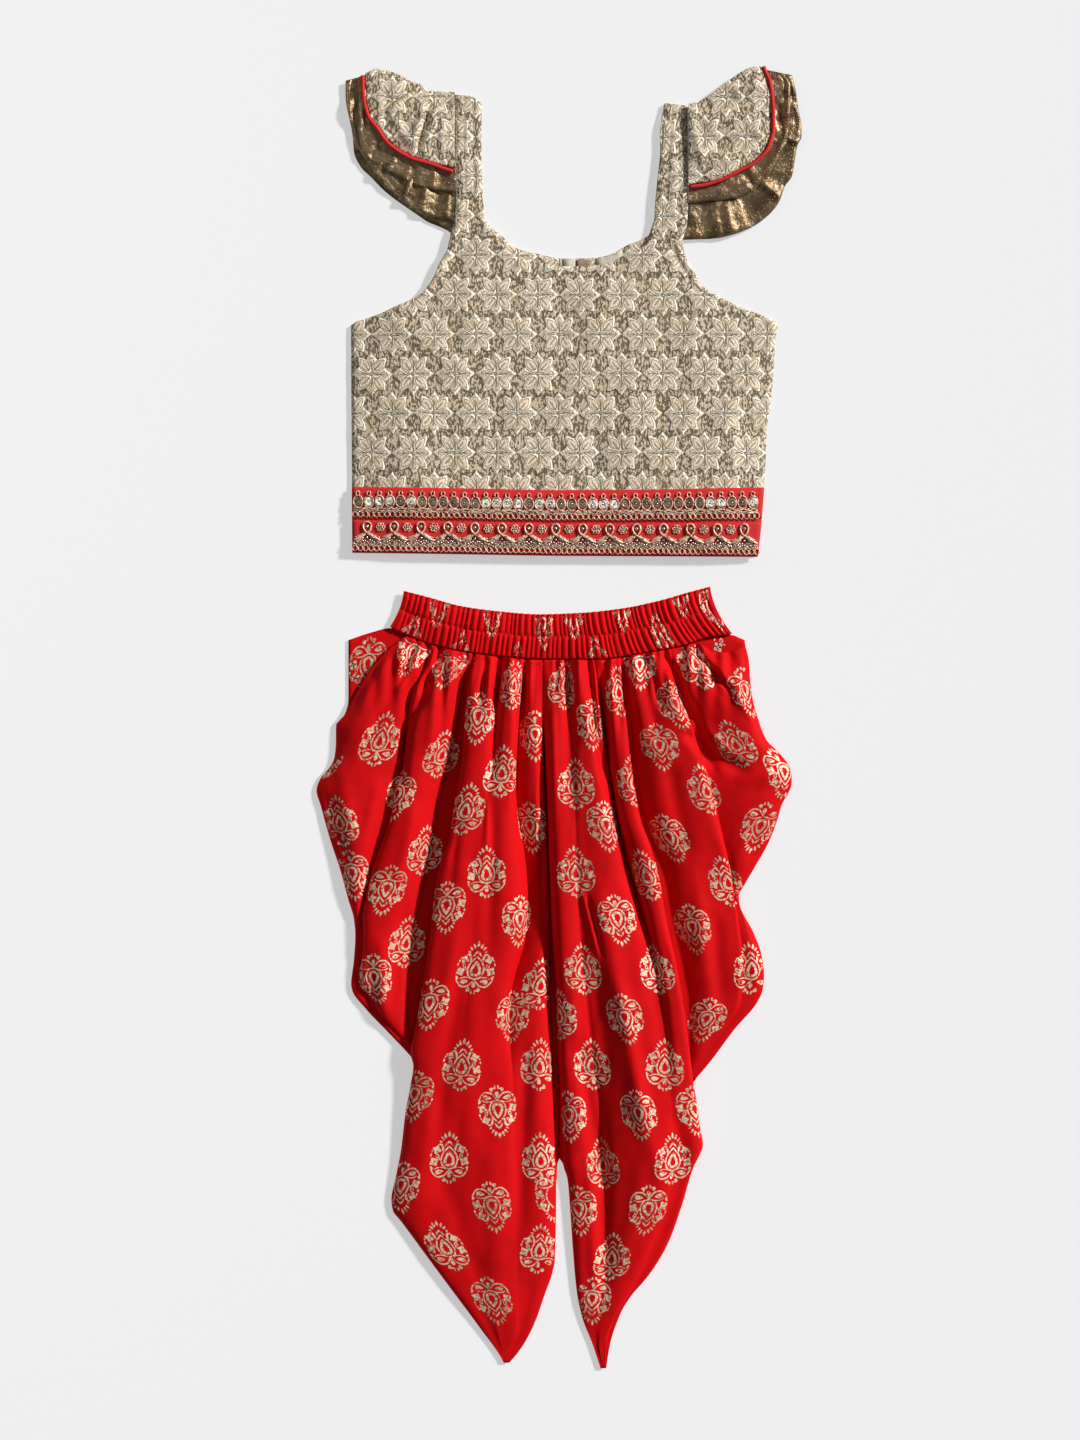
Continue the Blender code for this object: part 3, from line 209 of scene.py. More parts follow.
RIGHT_INNER = [(164, 461), (167, 455), (167, 444), (166, 430), (165, 415), (161, 405), (153, 392), (146, 384),
               (139, 379), (125, 373), (108, 371), (94, 370)]
RIGHT_OUTER = [(168, 463), (171, 451), (173, 437), (175, 426), (175, 419), (172, 412), (170, 401), (168, 390),
               (163, 383), (159, 372), (150, 361), (134, 351), (112, 345), (94, 344)]
RIGHT_UNDER = [(165, 461), (168, 451), (170, 437), (172, 426), (172, 419), (169, 410), (167, 400), (164, 390),
               (160, 382), (155, 373), (148, 364), (134, 354), (112, 348), (94, 347)]


def curve(knots, values, at):
    """A smooth line through the knots that never swings past them."""
    knots = np.asarray(knots, float)
    values = np.asarray(values, float)
    at = np.asarray(at, float)
    order = np.argsort(knots)
    knots = knots[order]
    values = values[order]
    step = np.diff(knots)
    rise = np.diff(values) / step
    slope = np.zeros(len(knots))
    same = rise[:-1] * rise[1:] > 0
    inner = np.zeros(len(rise) - 1)
    weight_a = 2 * step[1:] + step[:-1]
    weight_b = step[1:] + 2 * step[:-1]
    inner[same] = (weight_a + weight_b)[same] / (weight_a[same] / rise[:-1][same] + weight_b[same] / rise[1:][same])
    slope[1:-1] = inner
    slope[0] = rise[0]
    slope[-1] = rise[-1]
    at = np.clip(at, knots[0], knots[-1])
    cell = np.clip(np.searchsorted(knots, at, side="right") - 1, 0, len(step) - 1)
    s = (at - knots[cell]) / step[cell]
    h = step[cell]
    return (
        (1 + 2 * s) * (1 - s) ** 2 * values[cell]
        + s * (1 - s) ** 2 * h * slope[cell]
        + s**2 * (3 - 2 * s) * values[cell + 1]
        + s**2 * (s - 1) * h * slope[cell + 1]
    )


def through(table, at):
    return curve([p[0] for p in table], [p[1] for p in table], at)


def smooth(s):
    s = np.clip(s, 0, 1)
    return s * s * (3 - 2 * s)


def wobble(n, k=0):
    """A repeatable uneven number from -1 to 1 for the n-th of something."""
    return math.sin(12.9898 * n + 4.137 * k) * math.cos(7.233 * n - 1.7 * k)


def ripple(x, y, size, seed):
    """Uneven soft waves of about the given size, from -1 to 1."""
    a = x / size
    b = y / size
    bent = 0.9 * np.sin(b * 0.83 + seed) + 0.5 * np.sin(a * 0.61 - b * 1.3 + 2.1 * seed)
    return 0.5 * np.sin(a + bent + seed) + 0.3 * np.sin(1.7 * a - 0.9 * b + 1.3 * seed) + 0.2 * np.sin(
        0.8 * a + 2.3 * b + bent * 1.7
    )


def along(table, count):
    """Evenly spaced points on a line through the table's points."""
    points = np.array(table, float)
    run = np.concatenate([[0], np.cumsum(np.linalg.norm(np.diff(points, axis=0), axis=1))])
    at = np.linspace(0, run[-1], count)
    return np.stack([curve(run, points[:, k], at) for k in range(points.shape[1])], axis=1)


def made(name, points, faces, material, smooth_faces=True):
    """A mesh object from points in millimetres."""
    mesh = bpy.data.meshes.new(name)
    mesh.from_pydata((np.asarray(points, float) * MM).tolist(), [], faces)
    mesh.update()
    if smooth_faces:
        mesh.polygons.foreach_set("use_smooth", [True] * len(mesh.polygons))
    mesh.materials.append(material)
    thing = bpy.data.objects.new(name, mesh)
    bpy.context.scene.collection.objects.link(thing)
    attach(thing, "root")
    return thing


class Sheet:
    """A grid of points over one piece of cloth, which says where a place measured along the cloth lies."""

    def __init__(self, grid):
        self.grid = grid
        across = np.linalg.norm(np.diff(grid, axis=1), axis=2)
        self.run = np.concatenate([np.zeros((grid.shape[0], 1)), np.cumsum(across, axis=1)], axis=1)
        down = np.linalg.norm(np.diff(grid, axis=0), axis=2).mean(axis=1)
        self.fall = np.concatenate([[0], np.cumsum(down)])
        u = np.gradient(grid, axis=1)
        v = np.gradient(grid, axis=0)
        normal = np.cross(u, v)
        normal /= np.maximum(np.linalg.norm(normal, axis=2), 1e-9)[:, :, None]
        if normal[:, :, 2].mean() < 0:
            normal = -normal
        self.normal = normal

    def nearest(self, x, y):
        """The row and column of the topmost point seen from above at x, y."""
        gap = (self.grid[:, :, 0] - x) ** 2 + (self.grid[:, :, 1] - y) ** 2
        close = gap < max(gap.min() * 1.5, 1.2)
        score = np.where(close, self.grid[:, :, 2], -1e9)
        return np.unravel_index(np.argmax(score), score.shape)

    def place(self, spot, across, down, lift):
        """The point on the cloth at a distance across and down from a row and column, and whether it is on it."""
        i, j = spot
        fall = self.fall[i] + down
        row = np.interp(fall, self.fall, np.arange(len(self.fall)))
        low = int(min(max(math.floor(row), 0), len(self.fall) - 2))
        part = row - low
        run = self.run[low] * (1 - part) + self.run[low + 1] * part
        target = run[j] + across
        inside = self.fall[0] <= fall <= self.fall[-1] and run[0] <= target <= run[-1]
        column = np.interp(target, run, np.arange(len(run)))
        left = int(min(max(math.floor(column), 0), len(run) - 2))
        share = column - left
        weights = (
            ((1 - part) * (1 - share), low, left),
            ((1 - part) * share, low, left + 1),
            (part * (1 - share), low + 1, left),
            (part * share, low + 1, left + 1),
        )
        point = sum(w * self.grid[a, b] for w, a, b in weights)
        normal = sum(w * self.normal[a, b] for w, a, b in weights)
        return point + normal / np.linalg.norm(normal) * lift, inside

    def mesh(self, name, material, skin=SKIN, kept=None, rest=None, bottom=None):
        """The sheet as a closed thin shell, no lower than the height that it rests on."""
        rows, columns = self.grid.shape[:2]
        under = self.grid - self.normal * skin
        if bottom is not None:
            under = bottom
        if rest is not None:
            under[:, :, 2] = np.maximum(under[:, :, 2], rest)
        points = np.concatenate([self.grid.reshape(-1, 3), under.reshape(-1, 3)])
        half = rows * columns
        index = np.arange(half).reshape(rows, columns)
        a, b, c, d = index[:-1, :-1], index[:-1, 1:], index[1:, 1:], index[1:, :-1]
        quads = np.stack([a, d, c, b], axis=2)
        if kept is not None:
            quads = quads[kept]
        quads = quads.reshape(-1, 4)
        ahead = self.grid.reshape(-1, 3)
        turn = np.cross(ahead[quads[:, 1]] - ahead[quads[:, 0]], ahead[quads[:, 2]] - ahead[quads[:, 0]])
        if turn[:, 2].mean() < 0:
            quads = quads[:, ::-1]
        edges = {}
        for q in quads.tolist():
            for k in range(4):
                edges[(q[k], q[(k + 1) % 4])] = True
        sides = [(f, e, e + half, f + half) for e, f in edges if (f, e) not in edges]
        faces = quads.tolist() + (quads[:, ::-1] + half).tolist() + sides
        thing = made(name, points, faces, material)
        used = np.zeros(len(points), bool)
        used[np.array([p for f in faces for p in f])] = True
        if not used.all():
            mesh = thing.data
            import bmesh

            work = bmesh.new()
            work.from_mesh(mesh)
            bmesh.ops.delete(work, geom=[v for v in work.verts if not v.link_faces], context="VERTS")
            work.to_mesh(mesh)
            work.free()
        return thing


def tube(points, radius, sides=6, closed=False):
    """Points and faces of a round thread along a list of points. The radius may change along it."""
    points = np.asarray(points, float)
    count = len(points)
    if closed:
        ahead = np.roll(points, -1, axis=0) - np.roll(points, 1, axis=0)
    else:
        ahead = np.gradient(points, axis=0)
    ahead /= np.maximum(np.linalg.norm(ahead, axis=1), 1e-9)[:, None]
    out = np.cross(ahead, UP)
    size = np.linalg.norm(out, axis=1)
    out[size < 1e-6] = (1, 0, 0)
    out /= np.maximum(np.linalg.norm(out, axis=1), 1e-9)[:, None]
    over = np.cross(out, ahead)
    radius = np.broadcast_to(radius, (count,))
    turn = 2 * math.pi * np.arange(sides) / sides
    ring = (
        points[:, None, :]
        + radius[:, None, None] * (np.cos(turn)[None, :, None] * out[:, None, :] + np.sin(turn)[None, :, None] * over[:, None, :])
    )
    faces = []
    for i in range(count if closed else count - 1):
        n = (i + 1) % count
        for k in range(sides):
            m = (k + 1) % sides
            faces.append((i * sides + k, i * sides + m, n * sides + m, n * sides + k))
    if not closed:
        faces.append(tuple(reversed(range(sides))))
        faces.append(tuple((count - 1) * sides + k for k in range(sides)))
    return ring.reshape(-1, 3), faces


class Heap:
    """Many small shapes gathered into one object."""

    def __init__(self):
        self.points = []
        self.faces = []
        self.count = 0

    def add(self, points, faces):
        self.points.append(np.asarray(points, float))
        self.faces += [tuple(i + self.count for i in f) for f in faces]
        self.count += len(points)

    def mesh(self, name, material, smooth_faces=True):
        return made(name, np.concatenate(self.points), self.faces, material, smooth_faces)


class Field:
    """A number at each point of a surface, worked out by math nodes."""

    def __init__(self, tree, socket):
        self.tree = tree
        self.socket = socket

    def math(self, operation, *others):
        node = self.tree.nodes.new("ShaderNodeMath")
        node.operation = operation
        for slot, value in zip(node.inputs, (self, *others)):
            if isinstance(value, Field):
                self.tree.links.new(value.socket, slot)
            else:
                slot.default_value = value
        return Field(self.tree, node.outputs[0])

    def __add__(self, other):
        return self.math("ADD", other)

    def __sub__(self, other):
        return self.math("SUBTRACT", other)

    def __mul__(self, other):
        return self.math("MULTIPLY", other)

    def __truediv__(self, other):
        return self.math("DIVIDE", other)

    def square(self):
        return self.math("MULTIPLY", self)

    def abs(self):
        return self.math("ABSOLUTE")

    def least(self, other):
        return self.math("MINIMUM", other)

    def most(self, other):
        return self.math("MAXIMUM", other)

    def cell(self, size, start=0.0):
        """The distance from the middle of the nearest of cells of this size."""
        return ((self - start) * (1 / size) + 0.5).math("FRACT") * size - size / 2

    def step(self, low, high):
        """From 0 at low to 1 at high, smoothly."""
        node = self.tree.nodes.new("ShaderNodeMapRange")
        node.interpolation_type = "SMOOTHSTEP"
        self.tree.links.new(self.socket, node.inputs["Value"])
        node.inputs["From Min"].default_value = low
        node.inputs["From Max"].default_value = high
        return Field(self.tree, node.outputs["Result"])

    def toward(self, other, share):
        """This number where share is 0, the other where it is 1."""
        return self + (other - self) * share


class Finish:
    """A material under construction: a Principled shader with colours, bump and roughness from fields."""

    def __init__(self, name, colour, roughness, metallic=0.0, sheen=0.0):
        self.material = bpy.data.materials.new(name)
        self.material.use_nodes = True
        self.tree = self.material.node_tree
        self.shader = self.tree.nodes["Principled BSDF"]
        self.shader.inputs["Base Color"].default_value = (*colour, 1)
        self.shader.inputs["Roughness"].default_value = roughness
        self.shader.inputs["Metallic"].default_value = metallic
        self.shader.inputs["Sheen Weight"].default_value = sheen
        self.shader.inputs["Sheen Roughness"].default_value = 0.4
        self.bumped = None
        self.colour = None

    def place(self):
        """The surface's x, y and z in millimetres."""
        where = self.tree.nodes.new("ShaderNodeTexCoord")
        apart = self.tree.nodes.new("ShaderNodeSeparateXYZ")
        self.tree.links.new(where.outputs["Object"], apart.inputs[0])
        return [Field(self.tree, apart.outputs[k]) * 1000.0 for k in range(3)]

    def cloth_place(self):
        """The place along and across the cloth in millimetres, from the piece's own map."""
        where = self.tree.nodes.new("ShaderNodeUVMap")
        where.uv_map = "cloth"
        apart = self.tree.nodes.new("ShaderNodeSeparateXYZ")
        self.tree.links.new(where.outputs[0], apart.inputs[0])
        return [Field(self.tree, apart.outputs[k]) * 1000.0 for k in range(2)]

    def noise(self, size, detail=3.0, stretch=(1, 1, 1)):
        """Noise from 0 to 1 with features of about this many millimetres."""
        where = self.tree.nodes.new("ShaderNodeTexCoord")
        fit = self.tree.nodes.new("ShaderNodeMapping")
        fit.inputs["Scale"].default_value = [s * 1000 / size for s in stretch]
        node = self.tree.nodes.new("ShaderNodeTexNoise")
        node.inputs["Scale"].default_value = 1.0
        node.inputs["Detail"].default_value = detail
        self.tree.links.new(where.outputs["Object"], fit.inputs[0])
        self.tree.links.new(fit.outputs[0], node.inputs["Vector"])
        return Field(self.tree, node.outputs["Fac"])

    def paint(self, colour, share):
        """Lays a colour over what is there, as much as share says."""
        mix = self.tree.nodes.new("ShaderNodeMix")
        mix.data_type = "RGBA"
        self.tree.links.new(share.socket, mix.inputs[0])
        if self.colour is None:
            mix.inputs[6].default_value = self.shader.inputs["Base Color"].default_value
        else:
            self.tree.links.new(self.colour, mix.inputs[6])
        mix.inputs[7].default_value = (*colour, 1)
        self.colour = mix.outputs[2]
        self.tree.links.new(self.colour, self.shader.inputs["Base Color"])

    def bump(self, height, depth, strength=1.0):
        """Raises the surface by a field, depth in millimetres."""
        node = self.tree.nodes.new("ShaderNodeBump")
        node.inputs["Strength"].default_value = strength
        node.inputs["Distance"].default_value = depth * MM
        self.tree.links.new(height.socket, node.inputs["Height"])
        if self.bumped is not None:
            self.tree.links.new(self.bumped, node.inputs["Normal"])
        self.bumped = node.outputs[0]
        self.tree.links.new(self.bumped, self.shader.inputs["Normal"])

    def drive(self, socket, field):
        self.tree.links.new(field.socket, self.shader.inputs[socket])


def printed_red():
    """Soft crepe: a fine uneven grain, a little sheen, and colour that varies slightly."""
    cloth = Finish("printed_red_cloth", (0.60, 0.0022, 0.0040), 0.74, sheen=0.0)
    cloth.shader.inputs["Sheen Tint"].default_value = (1.0, 0.12, 0.1, 1)
    cloth.shader.inputs["Specular IOR Level"].default_value = 0.08
    broad = cloth.noise(38, 2)
    cloth.paint((0.48, 0.002, 0.004), broad.step(0.42, 0.78) * 0.5)
    x, y, z = cloth.place()
    grain = cloth.noise(0.5, 2)
    threads = (x * 5.2).math("SINE") * (y * 5.2).math("SINE")
    cloth.bump(grain + threads * 0.18, 0.10, 0.55)
    return cloth.material


def plain_red():
    cloth = Finish("red_cloth", (0.62, 0.010, 0.009), 0.74, sheen=0.0)
    cloth.shader.inputs["Sheen Tint"].default_value = (1.0, 0.35, 0.3, 1)
    x, y, z = cloth.place()
    weave = (x * 7.0).math("SINE") * (y * 7.0).math("SINE")
    cloth.paint((0.58, 0.007, 0.007), weave.step(0.1, 0.9) * 0.35)
    cloth.bump(weave + cloth.noise(0.7) * 0.8, 0.10, 0.6)
    return cloth.material


def foil():
    """Gold foil printed on cloth: pale, worn in specks, not quite a mirror."""
    print_ = Finish("gold_foil_print", (0.80, 0.55, 0.38), 0.58, metallic=0.2)
    worn = print_.noise(1.7, 4)
    print_.paint((0.46, 0.19, 0.12), print_.noise(42, 1).step(0.42, 0.62) * 0.7)
    print_.paint((0.40, 0.03, 0.02), worn.step(0.50, 0.58) * 0.85)
    print_.paint((0.97, 0.78, 0.60), print_.noise(2.2, 2).step(0.5, 0.66) * 0.6)
    print_.bump(worn, 0.12, 0.6)
    return print_.material


PETAL_ACROSS = 30.0
PETAL_ROW = 28.5
FLOWER_X = -120.2
FLOWER_Y = 275.8


def drop_shape(a, b, angle, reach, length, width):
    """A field that is 1 at the middle of a drop-shaped petal and 0 at its edge."""
    c = math.cos(angle)
    s = math.sin(angle)
    on = a * c + b * s - reach
    off = b * c - a * s
    narrow = (on * (-0.055) + 1.0).most(0.35)
    return (on * (1 / length)).square() * -1.0 - (off / (narrow * width)).square() + 1.0


def kite(on, off, start, widest, end, half):
    """A field over 0 inside a kite-shaped petal, 1 at its broadest place."""
    rising = (on - start) * (1 / (widest - start))
    falling = (on * -1.0 + end) * (1 / (end - widest))
    return rising.least(falling) - off * (1 / half)


def brocade():
    """Cream flowers of eight petals woven on a bronze ground, in rows set half a flower apart."""
    cloth = Finish("gold_brocade", (0.78, 0.62, 0.43), 0.5, metallic=0.1, sheen=0.05)
    cloth.shader.inputs["Specular IOR Level"].default_value = 0.45
    x, y, z = cloth.place()
    x = x + (cloth.noise(13, 2) - 0.5) * 3.4
    y = y + (cloth.noise(15, 2, (1, 1.3, 1)) - 0.5) * 3.4
    first_a = x.cell(PETAL_ACROSS, FLOWER_X)
    first_b = y.cell(2 * PETAL_ROW, FLOWER_Y)
    second_a = x.cell(PETAL_ACROSS, FLOWER_X + PETAL_ACROSS / 2)
    second_b = y.cell(2 * PETAL_ROW, FLOWER_Y + PETAL_ROW)
    nearer = (first_a.square() + first_b.square()) - (second_a.square() + second_b.square())
    share = nearer.step(-0.01, 0.01)
    a = first_a.toward(second_a, share).abs()
    b = first_b.toward(second_b, share).abs()
    level = kite(a, b, 0.4, 9.0, 15.2, 5.3)
    stand = kite(b, a, 0.4, 10.0, 15.8, 4.5)
    slant = drop_shape(a, b, math.radians(51), 8.4, 7.3, 4.1)
    heart = ((a.square() + b.square()) * (-1 / 3.4)) + 1.0
    figure = level.most(stand).most(slant).most(heart)
    spine = (a * 0.777 - b * 0.629).abs().least(a).least(b)
    round_ = a.square() + b.square()
    vein = (spine.step(0.30, 0.75) * -1.0 + 1.0) * round_.step(5, 12) * (round_.step(80, 120) * -1.0 + 1.0)
    parting = (level - slant).abs().least((stand - slant).abs()).step(0.03, 0.13) * -1.0 + 1.0
    flat = figure.step(0.0, 0.14)
    rim = flat * (figure.step(0.26, 0.46) * -1.0 + 1.0)
    line = ((figure - 0.60).abs().step(0.05, 0.13) * -1.0 + 1.0)
    halo = ((figure + 0.10).abs().step(0.05, 0.2) * -1.0 + 1.0)
    dashes = cloth.noise(2.4, 1, (1.7, 0.85, 1)).step(0.475, 0.535)
    fleck = cloth.noise(1.5, 2, (1.6, 0.8, 1))
    broad = cloth.noise(22, 2)
    cloth.paint((0.10, 0.07, 0.035), dashes * 0.88)
    cloth.paint((0.13, 0.09, 0.045), halo * 0.5)
    cloth.paint((1.0, 0.825, 0.61), flat)
    cloth.paint((1.0, 0.98, 0.84), rim * 0.8)
    cloth.paint((0.20, 0.145, 0.08), line * flat * 0.5)
    cloth.paint((0.16, 0.11, 0.06), vein * 0.75)
    cloth.paint((0.12, 0.08, 0.04), parting * flat * 0.85)
    cloth.paint((0.26, 0.185, 0.10), fleck.step(0.55, 0.62) * 0.5)
    cloth.paint((0.46, 0.36, 0.21), broad.step(0.5, 0.72) * 0.22)
    raised = figure.most(-0.2).least(0.45) * 1.5 - line * 0.35 - parting * flat * 0.5
    cloth.bump(raised - dashes * (flat * -1.0 + 1.0) * 0.45, 1.0, 0.95)
    cloth.bump(fleck + (y * 8.5 + x * 1.2).math("SINE") * 0.2, 0.4, 0.85)
    return cloth.material


def bronze():
    """Metallic tissue: crinkled, with painted highlights: bright flecks where the crinkles catch the light."""
    cloth = Finish("bronze_tissue", (0.26, 0.175, 0.09), 0.34, metallic=0.62)
    crinkle = cloth.noise(4.2, 5, (1, 1, 1))
    fold = cloth.noise(11, 3)
    x, y, z = cloth.place()
    # painted highlight: a lighter colour where the crinkle field is high, standing for light caught on the crinkles
    cloth.paint((0.66, 0.47, 0.28), crinkle.step(0.52, 0.72) * 0.7)
    cloth.paint((0.085, 0.055, 0.025), fold.step(0.48, 0.66) * 0.75)
    cloth.bump(crinkle + fold * 1.3, 1.1, 0.85)
    weave = (x * 6.5).math("SINE") * (y * 6.5).math("SINE")
    cloth.bump(weave, 0.08, 0.5)
    return cloth.material


def gold_thread():
    """Metallic cord, with painted shade for the dark between its strands and painted highlights on it."""
    cord = Finish("gold_thread", (0.84, 0.62, 0.44), 0.42, metallic=0.3)
    # painted shade: dark red-brown specks standing for the shaded gaps between strands
    cord.paint((0.20, 0.07, 0.04), cord.noise(1.5, 2).step(0.50, 0.60) * 0.9)
    # painted highlight: pale patches standing for light caught on the cord
    cord.paint((1.0, 0.86, 0.68), cord.noise(3.5, 2).step(0.54, 0.70) * 0.75)
    cord.bump(cord.noise(0.45, 1), 0.15, 0.8)
    return cord.material


def plain(name, colour, roughness, metallic=0.0, grain=0.6, depth=0.08):
    made_of = Finish(name, colour, roughness, metallic)
    made_of.paint(tuple(c * 0.7 for c in colour), made_of.noise(grain * 6, 2).step(0.45, 0.7) * 0.6)
    made_of.bump(made_of.noise(grain, 2), depth, 0.6)
    return made_of.material


def sequin_metal():
    """Mirror-like plates, some painted bright as a painted reflection, as if catching the light, and some dull, one
    tone to a plate.
    """
    plate = Finish("sequin_metal", (0.36, 0.25, 0.16), 0.32, metallic=0.4)
    x, y, z = plate.place()
    number = ((x + 148.65) * (1 / 7.69)).math("FLOOR")
    chance = ((number * 12.9898).math("SINE") * 437.585).math("FRACT")
    # painted reflection: every third plate or so painted near white, as a mirror catching the light
    plate.paint((1.0, 0.95, 0.82), chance.abs().step(0.66, 0.70))
    plate.paint((0.11, 0.06, 0.035), plate.noise(1.9, 2).step(0.52, 0.60) * 0.75)
    plate.drive("Metallic", chance.abs().step(0.66, 0.70) * -0.35 + 0.55)
    return plate.material


# Where each panel's flank leans out over the valley beside it: one number a cell, in millimetres.
LEANS = {
    "left_side_drape": [0.8, 0, 4.4, 0, 0],
    "left_leg_front": [5.2, 0, 0, 3.4, 0, 1.0],
    "right_leg_front": [1.6, 0, 0, 4.0, 2.0, 3.0],
    "right_side_drape": [0, 0.6, 0, 3.0, 1.0, 0.8],
}

# Soft creases listed one by one: from x, y to x, y, then height, negative for a trough, and half width.
CREASES = {
    "left_side_drape": [
        (-121, 52, -148, 13, -2.0, 3), (-90, 28, -109, -6, -2.6, 3), (-109, -6, -113, -46, -2.0, 3.5),
        (-104, 51, -114, 26, -3.0, 2.4), (-86, 46, -98, 20, -3.2, 2.6), (-110, 38, -117, -30, 1.4, 5),
        (-75, 42, -82, 8, 1.4, 3), (-128, 40, -150, -10, 1.0, 5), (-120, 20, -141, -30, -0.9, 4), (-160, -30, -146, -95, 1.1, 6),
        (-168, -60, -152, -105, -0.8, 4), (-131, -50, -141, -95, 0.8, 4), (-86, 30, -93, -25, 1.0, 4),
        (-82, 32, -86, -20, -0.9, 3), (-104, -70, -116, -120, 1.2, 5), (-110, -140, -121, -205, -1.0, 5),
        (-128, -165, -125, -222, 1.0, 5), (-138, -170, -134, -206, -0.8, 4),
    ],
    "left_leg_front": [
        (-61, 36, -75, -30, -2.4, 3), (-75, -30, -77, -94, -2.2, 3.5), (-12, 30, -12, -94, -1.8, 2.2),
        (-12, -94, -4, -228, -1.6, 3), (-42, 40, -46, 8, -3.4, 2.3), (-24, 38, -26, -2, -3.0, 2.2), (-33, 38, -35, 12, 1.2, 3),
        (-13, 36, -13, -60, -2.6, 1.6), (-52, 40, -57, 12, -1.8, 2.2), (-44, 38, -47, -35, -1.6, 3.5), (-52, -50, -55, -110, 1.0, 5), (-48, -70, -50, -165, -1.0, 5),
        (-70, -110, -82, -215, 1.1, 6), (-74, -190, -86, -290, -0.9, 6), (-60, -205, -66, -300, 1.0, 8),
        (-52, -60, -51, -100, 0.9, 2), (-24, -250, -29, -360, -1.4, 6), (-92, -285, -103, -350, 0.9, 6),
        (-85, -330, -58, -400, -0.8, 7), (-48, -330, -42, -420, 0.9, 8), (-16, -60, -14, -110, 0.8, 2.5),
        (-70, -60, -78, -120, -0.7, 3), (-33, 5, -35, -60, 0.9, 3),
    ],
    "right_leg_front": [
        (25, -3, 33, -42, -2.4, 3), (33, -42, 60, -149, -2.0, 3.5), (41, 32, 55, -3, -2.2, 3),
        (55, -3, 81, -129, -1.9, 4), (81, -129, 81, -188, -1.4, 4), (30, -132, 44, -204, 1.7, 7),
        (44, -204, 58, -276, 1.7, 7), (58, -276, 73, -333, 1.4, 7), (14, -240, 30, -330, -1.8, 6),
        (22, 38, 26, -4, -3.4, 2.3), (41, 36, 45, -4, -2.6, 2.2), (6, 38, 8, 8, -2.0, 2.2),
        (30, 30, 37, -40, -2.2, 3.0), (-5, 36, -4, -60, 1.2, 3), (6, 36, 8, -60, -1.3, 4), (12, -30, 14, -120, 0.8, 5), (18, -130, 27, -166, 1.5, 1.6),
        (21, -133, 30, -168, -1.3, 1.6), (26, -180, 36, -260, -1.0, 6), (10, -200, 17, -300, 0.9, 4),
        (46, -200, 60, -290, 1.2, 6), (64, -170, 76, -240, -1.0, 6), (78, -200, 88, -290, 0.8, 5),
        (30, -300, 33, -400, -1.2, 5), (22, -330, 27, -420, 0.8, 4), (60, -320, 44, -400, 0.9, 6),
        (84, -290, 92, -325, -0.7, 5), (38, 30, 40, -20, 0.8, 3), (15, 38, 20, -10, 0.9, 3),
    ],
    "right_side_drape": [
        (81, 36, 100, -3, -2.2, 3), (100, -3, 112, -38, -1.8, 3.5), (79, 40, 92, 4, -3.2, 2.6), (103, 42, 124, 18, -3.0, 2.4), (66, 40, 72, 10, -2.4, 2.4),
        (112, 36, 140, -2, 1.5, 3.4), (54, 40, 62, -20, 1.0, 4), (62, 38, 70, -10, -1.1, 4), (93, 4, 122, -26, 1.3, 4),
        (93, -13, 109, -27, -2.6, 4), (109, -27, 134, -39, -2.2, 5), (84, 18, 95, -1, -2.2, 3.5),
        (100, 42, 120, 14, -1.1, 4), (120, 35, 141, 0, 1.1, 4), (132, -44, 162, -42, 1.3, 6),
        (80, -40, 92, -100, -1.0, 6), (100, -130, 108, -200, 0.9, 6), (136, -150, 144, -195, 0.8, 5),
        (112, -150, 117, -205, -0.9, 6), (146, -66, 138, -100, -0.9, 5), (128, 38, 148, -12, -0.8, 3),
    ],
}

# The foil motifs on each panel: x and y of the middle, then 1 if its crown is up and -1 if down.
MOTIFS = {
    "left_side_drape": [
        (-106, 46, -1), (-79, 37, -1), (-129, -17, 1), (-84, -27, 1), (-170, -35, -1), (-117, -56, -1),
        (-158, -76, 1), (-97, -97, 1), (-149, -113, -1), (-124, -124, -1), (-133, -188, -1), (-110, -163, 1),
    ],
    "left_leg_front": [
        (-32, 23, 1), (-58, 0, -1), (-41, -40, 1), (-17, -13, -1), (-67, -67, 1), (-21, -79, -1), (-52, -112, 1),
        (-81, -136, -1), (-28, -146, -1), (-60, -181, 1), (-13, -193, 1), (-93, -206, -1), (-35, -215, -1),
        (-70, -251, 1), (-14, -251, 1), (-104, -272, -1), (-44, -283, -1), (-79, -318, 1), (-13, -319, 1),
        (-114, -338, -1), (-48, -352, -1), (-4, -345, -1), (-82, -382, 1), (-14, -384, 1), (-48, -420, -1),
    ],
    "right_leg_front": [
        (4, 23, 1), (24, -5, -1), (43, 18, 1), (12, -49, 1), (54, -47, 1), (34, -78, -1), (12, -112, 1),
        (63, -114, 1), (42, -145, -1), (17, -182, 1), (70, -182, 1), (47, -216, -1), (0, -215, 1), (24, -251, 1),
        (76, -251, 1), (57, -285, -1), (7, -287, -1), (98, -283, -1), (32, -323, 1), (82, -319, 1),
        (64, -354, -1), (14, -355, -1), (38, -390, 1), (24, -420, -1),
    ],
    "right_side_drape": [
        (58, 37, -1), (98, 39, 1), (134, 19, -1), (84, 9, -1), (72, -21, -1), (127, -20, 1), (163, -40, -1),
        (106, -53, 1), (79, -87, -1), (145, -79, -1), (122, -119, 1), (96, -152, -1), (139, -182, 1),
        (106, -218, -1),
    ],
    "waistband_front": [
        (-86, 82, -1), (-48, 75, -1), (-11.5, 67, -1), (9.5, 75, -1), (44, 81, -1), (87, 91, -1), (111, 78, -1),
        (29.5, 39.6, 1), (75.6, 55.4, 1), (-32.4, 34.6, 1), (-71.3, 43.2, 1), (-109, 54.7, 1),
    ],
    "left_leg_back": [(-138, 37, -1)],
    "right_leg_back": [(126, 52, 1)],
}


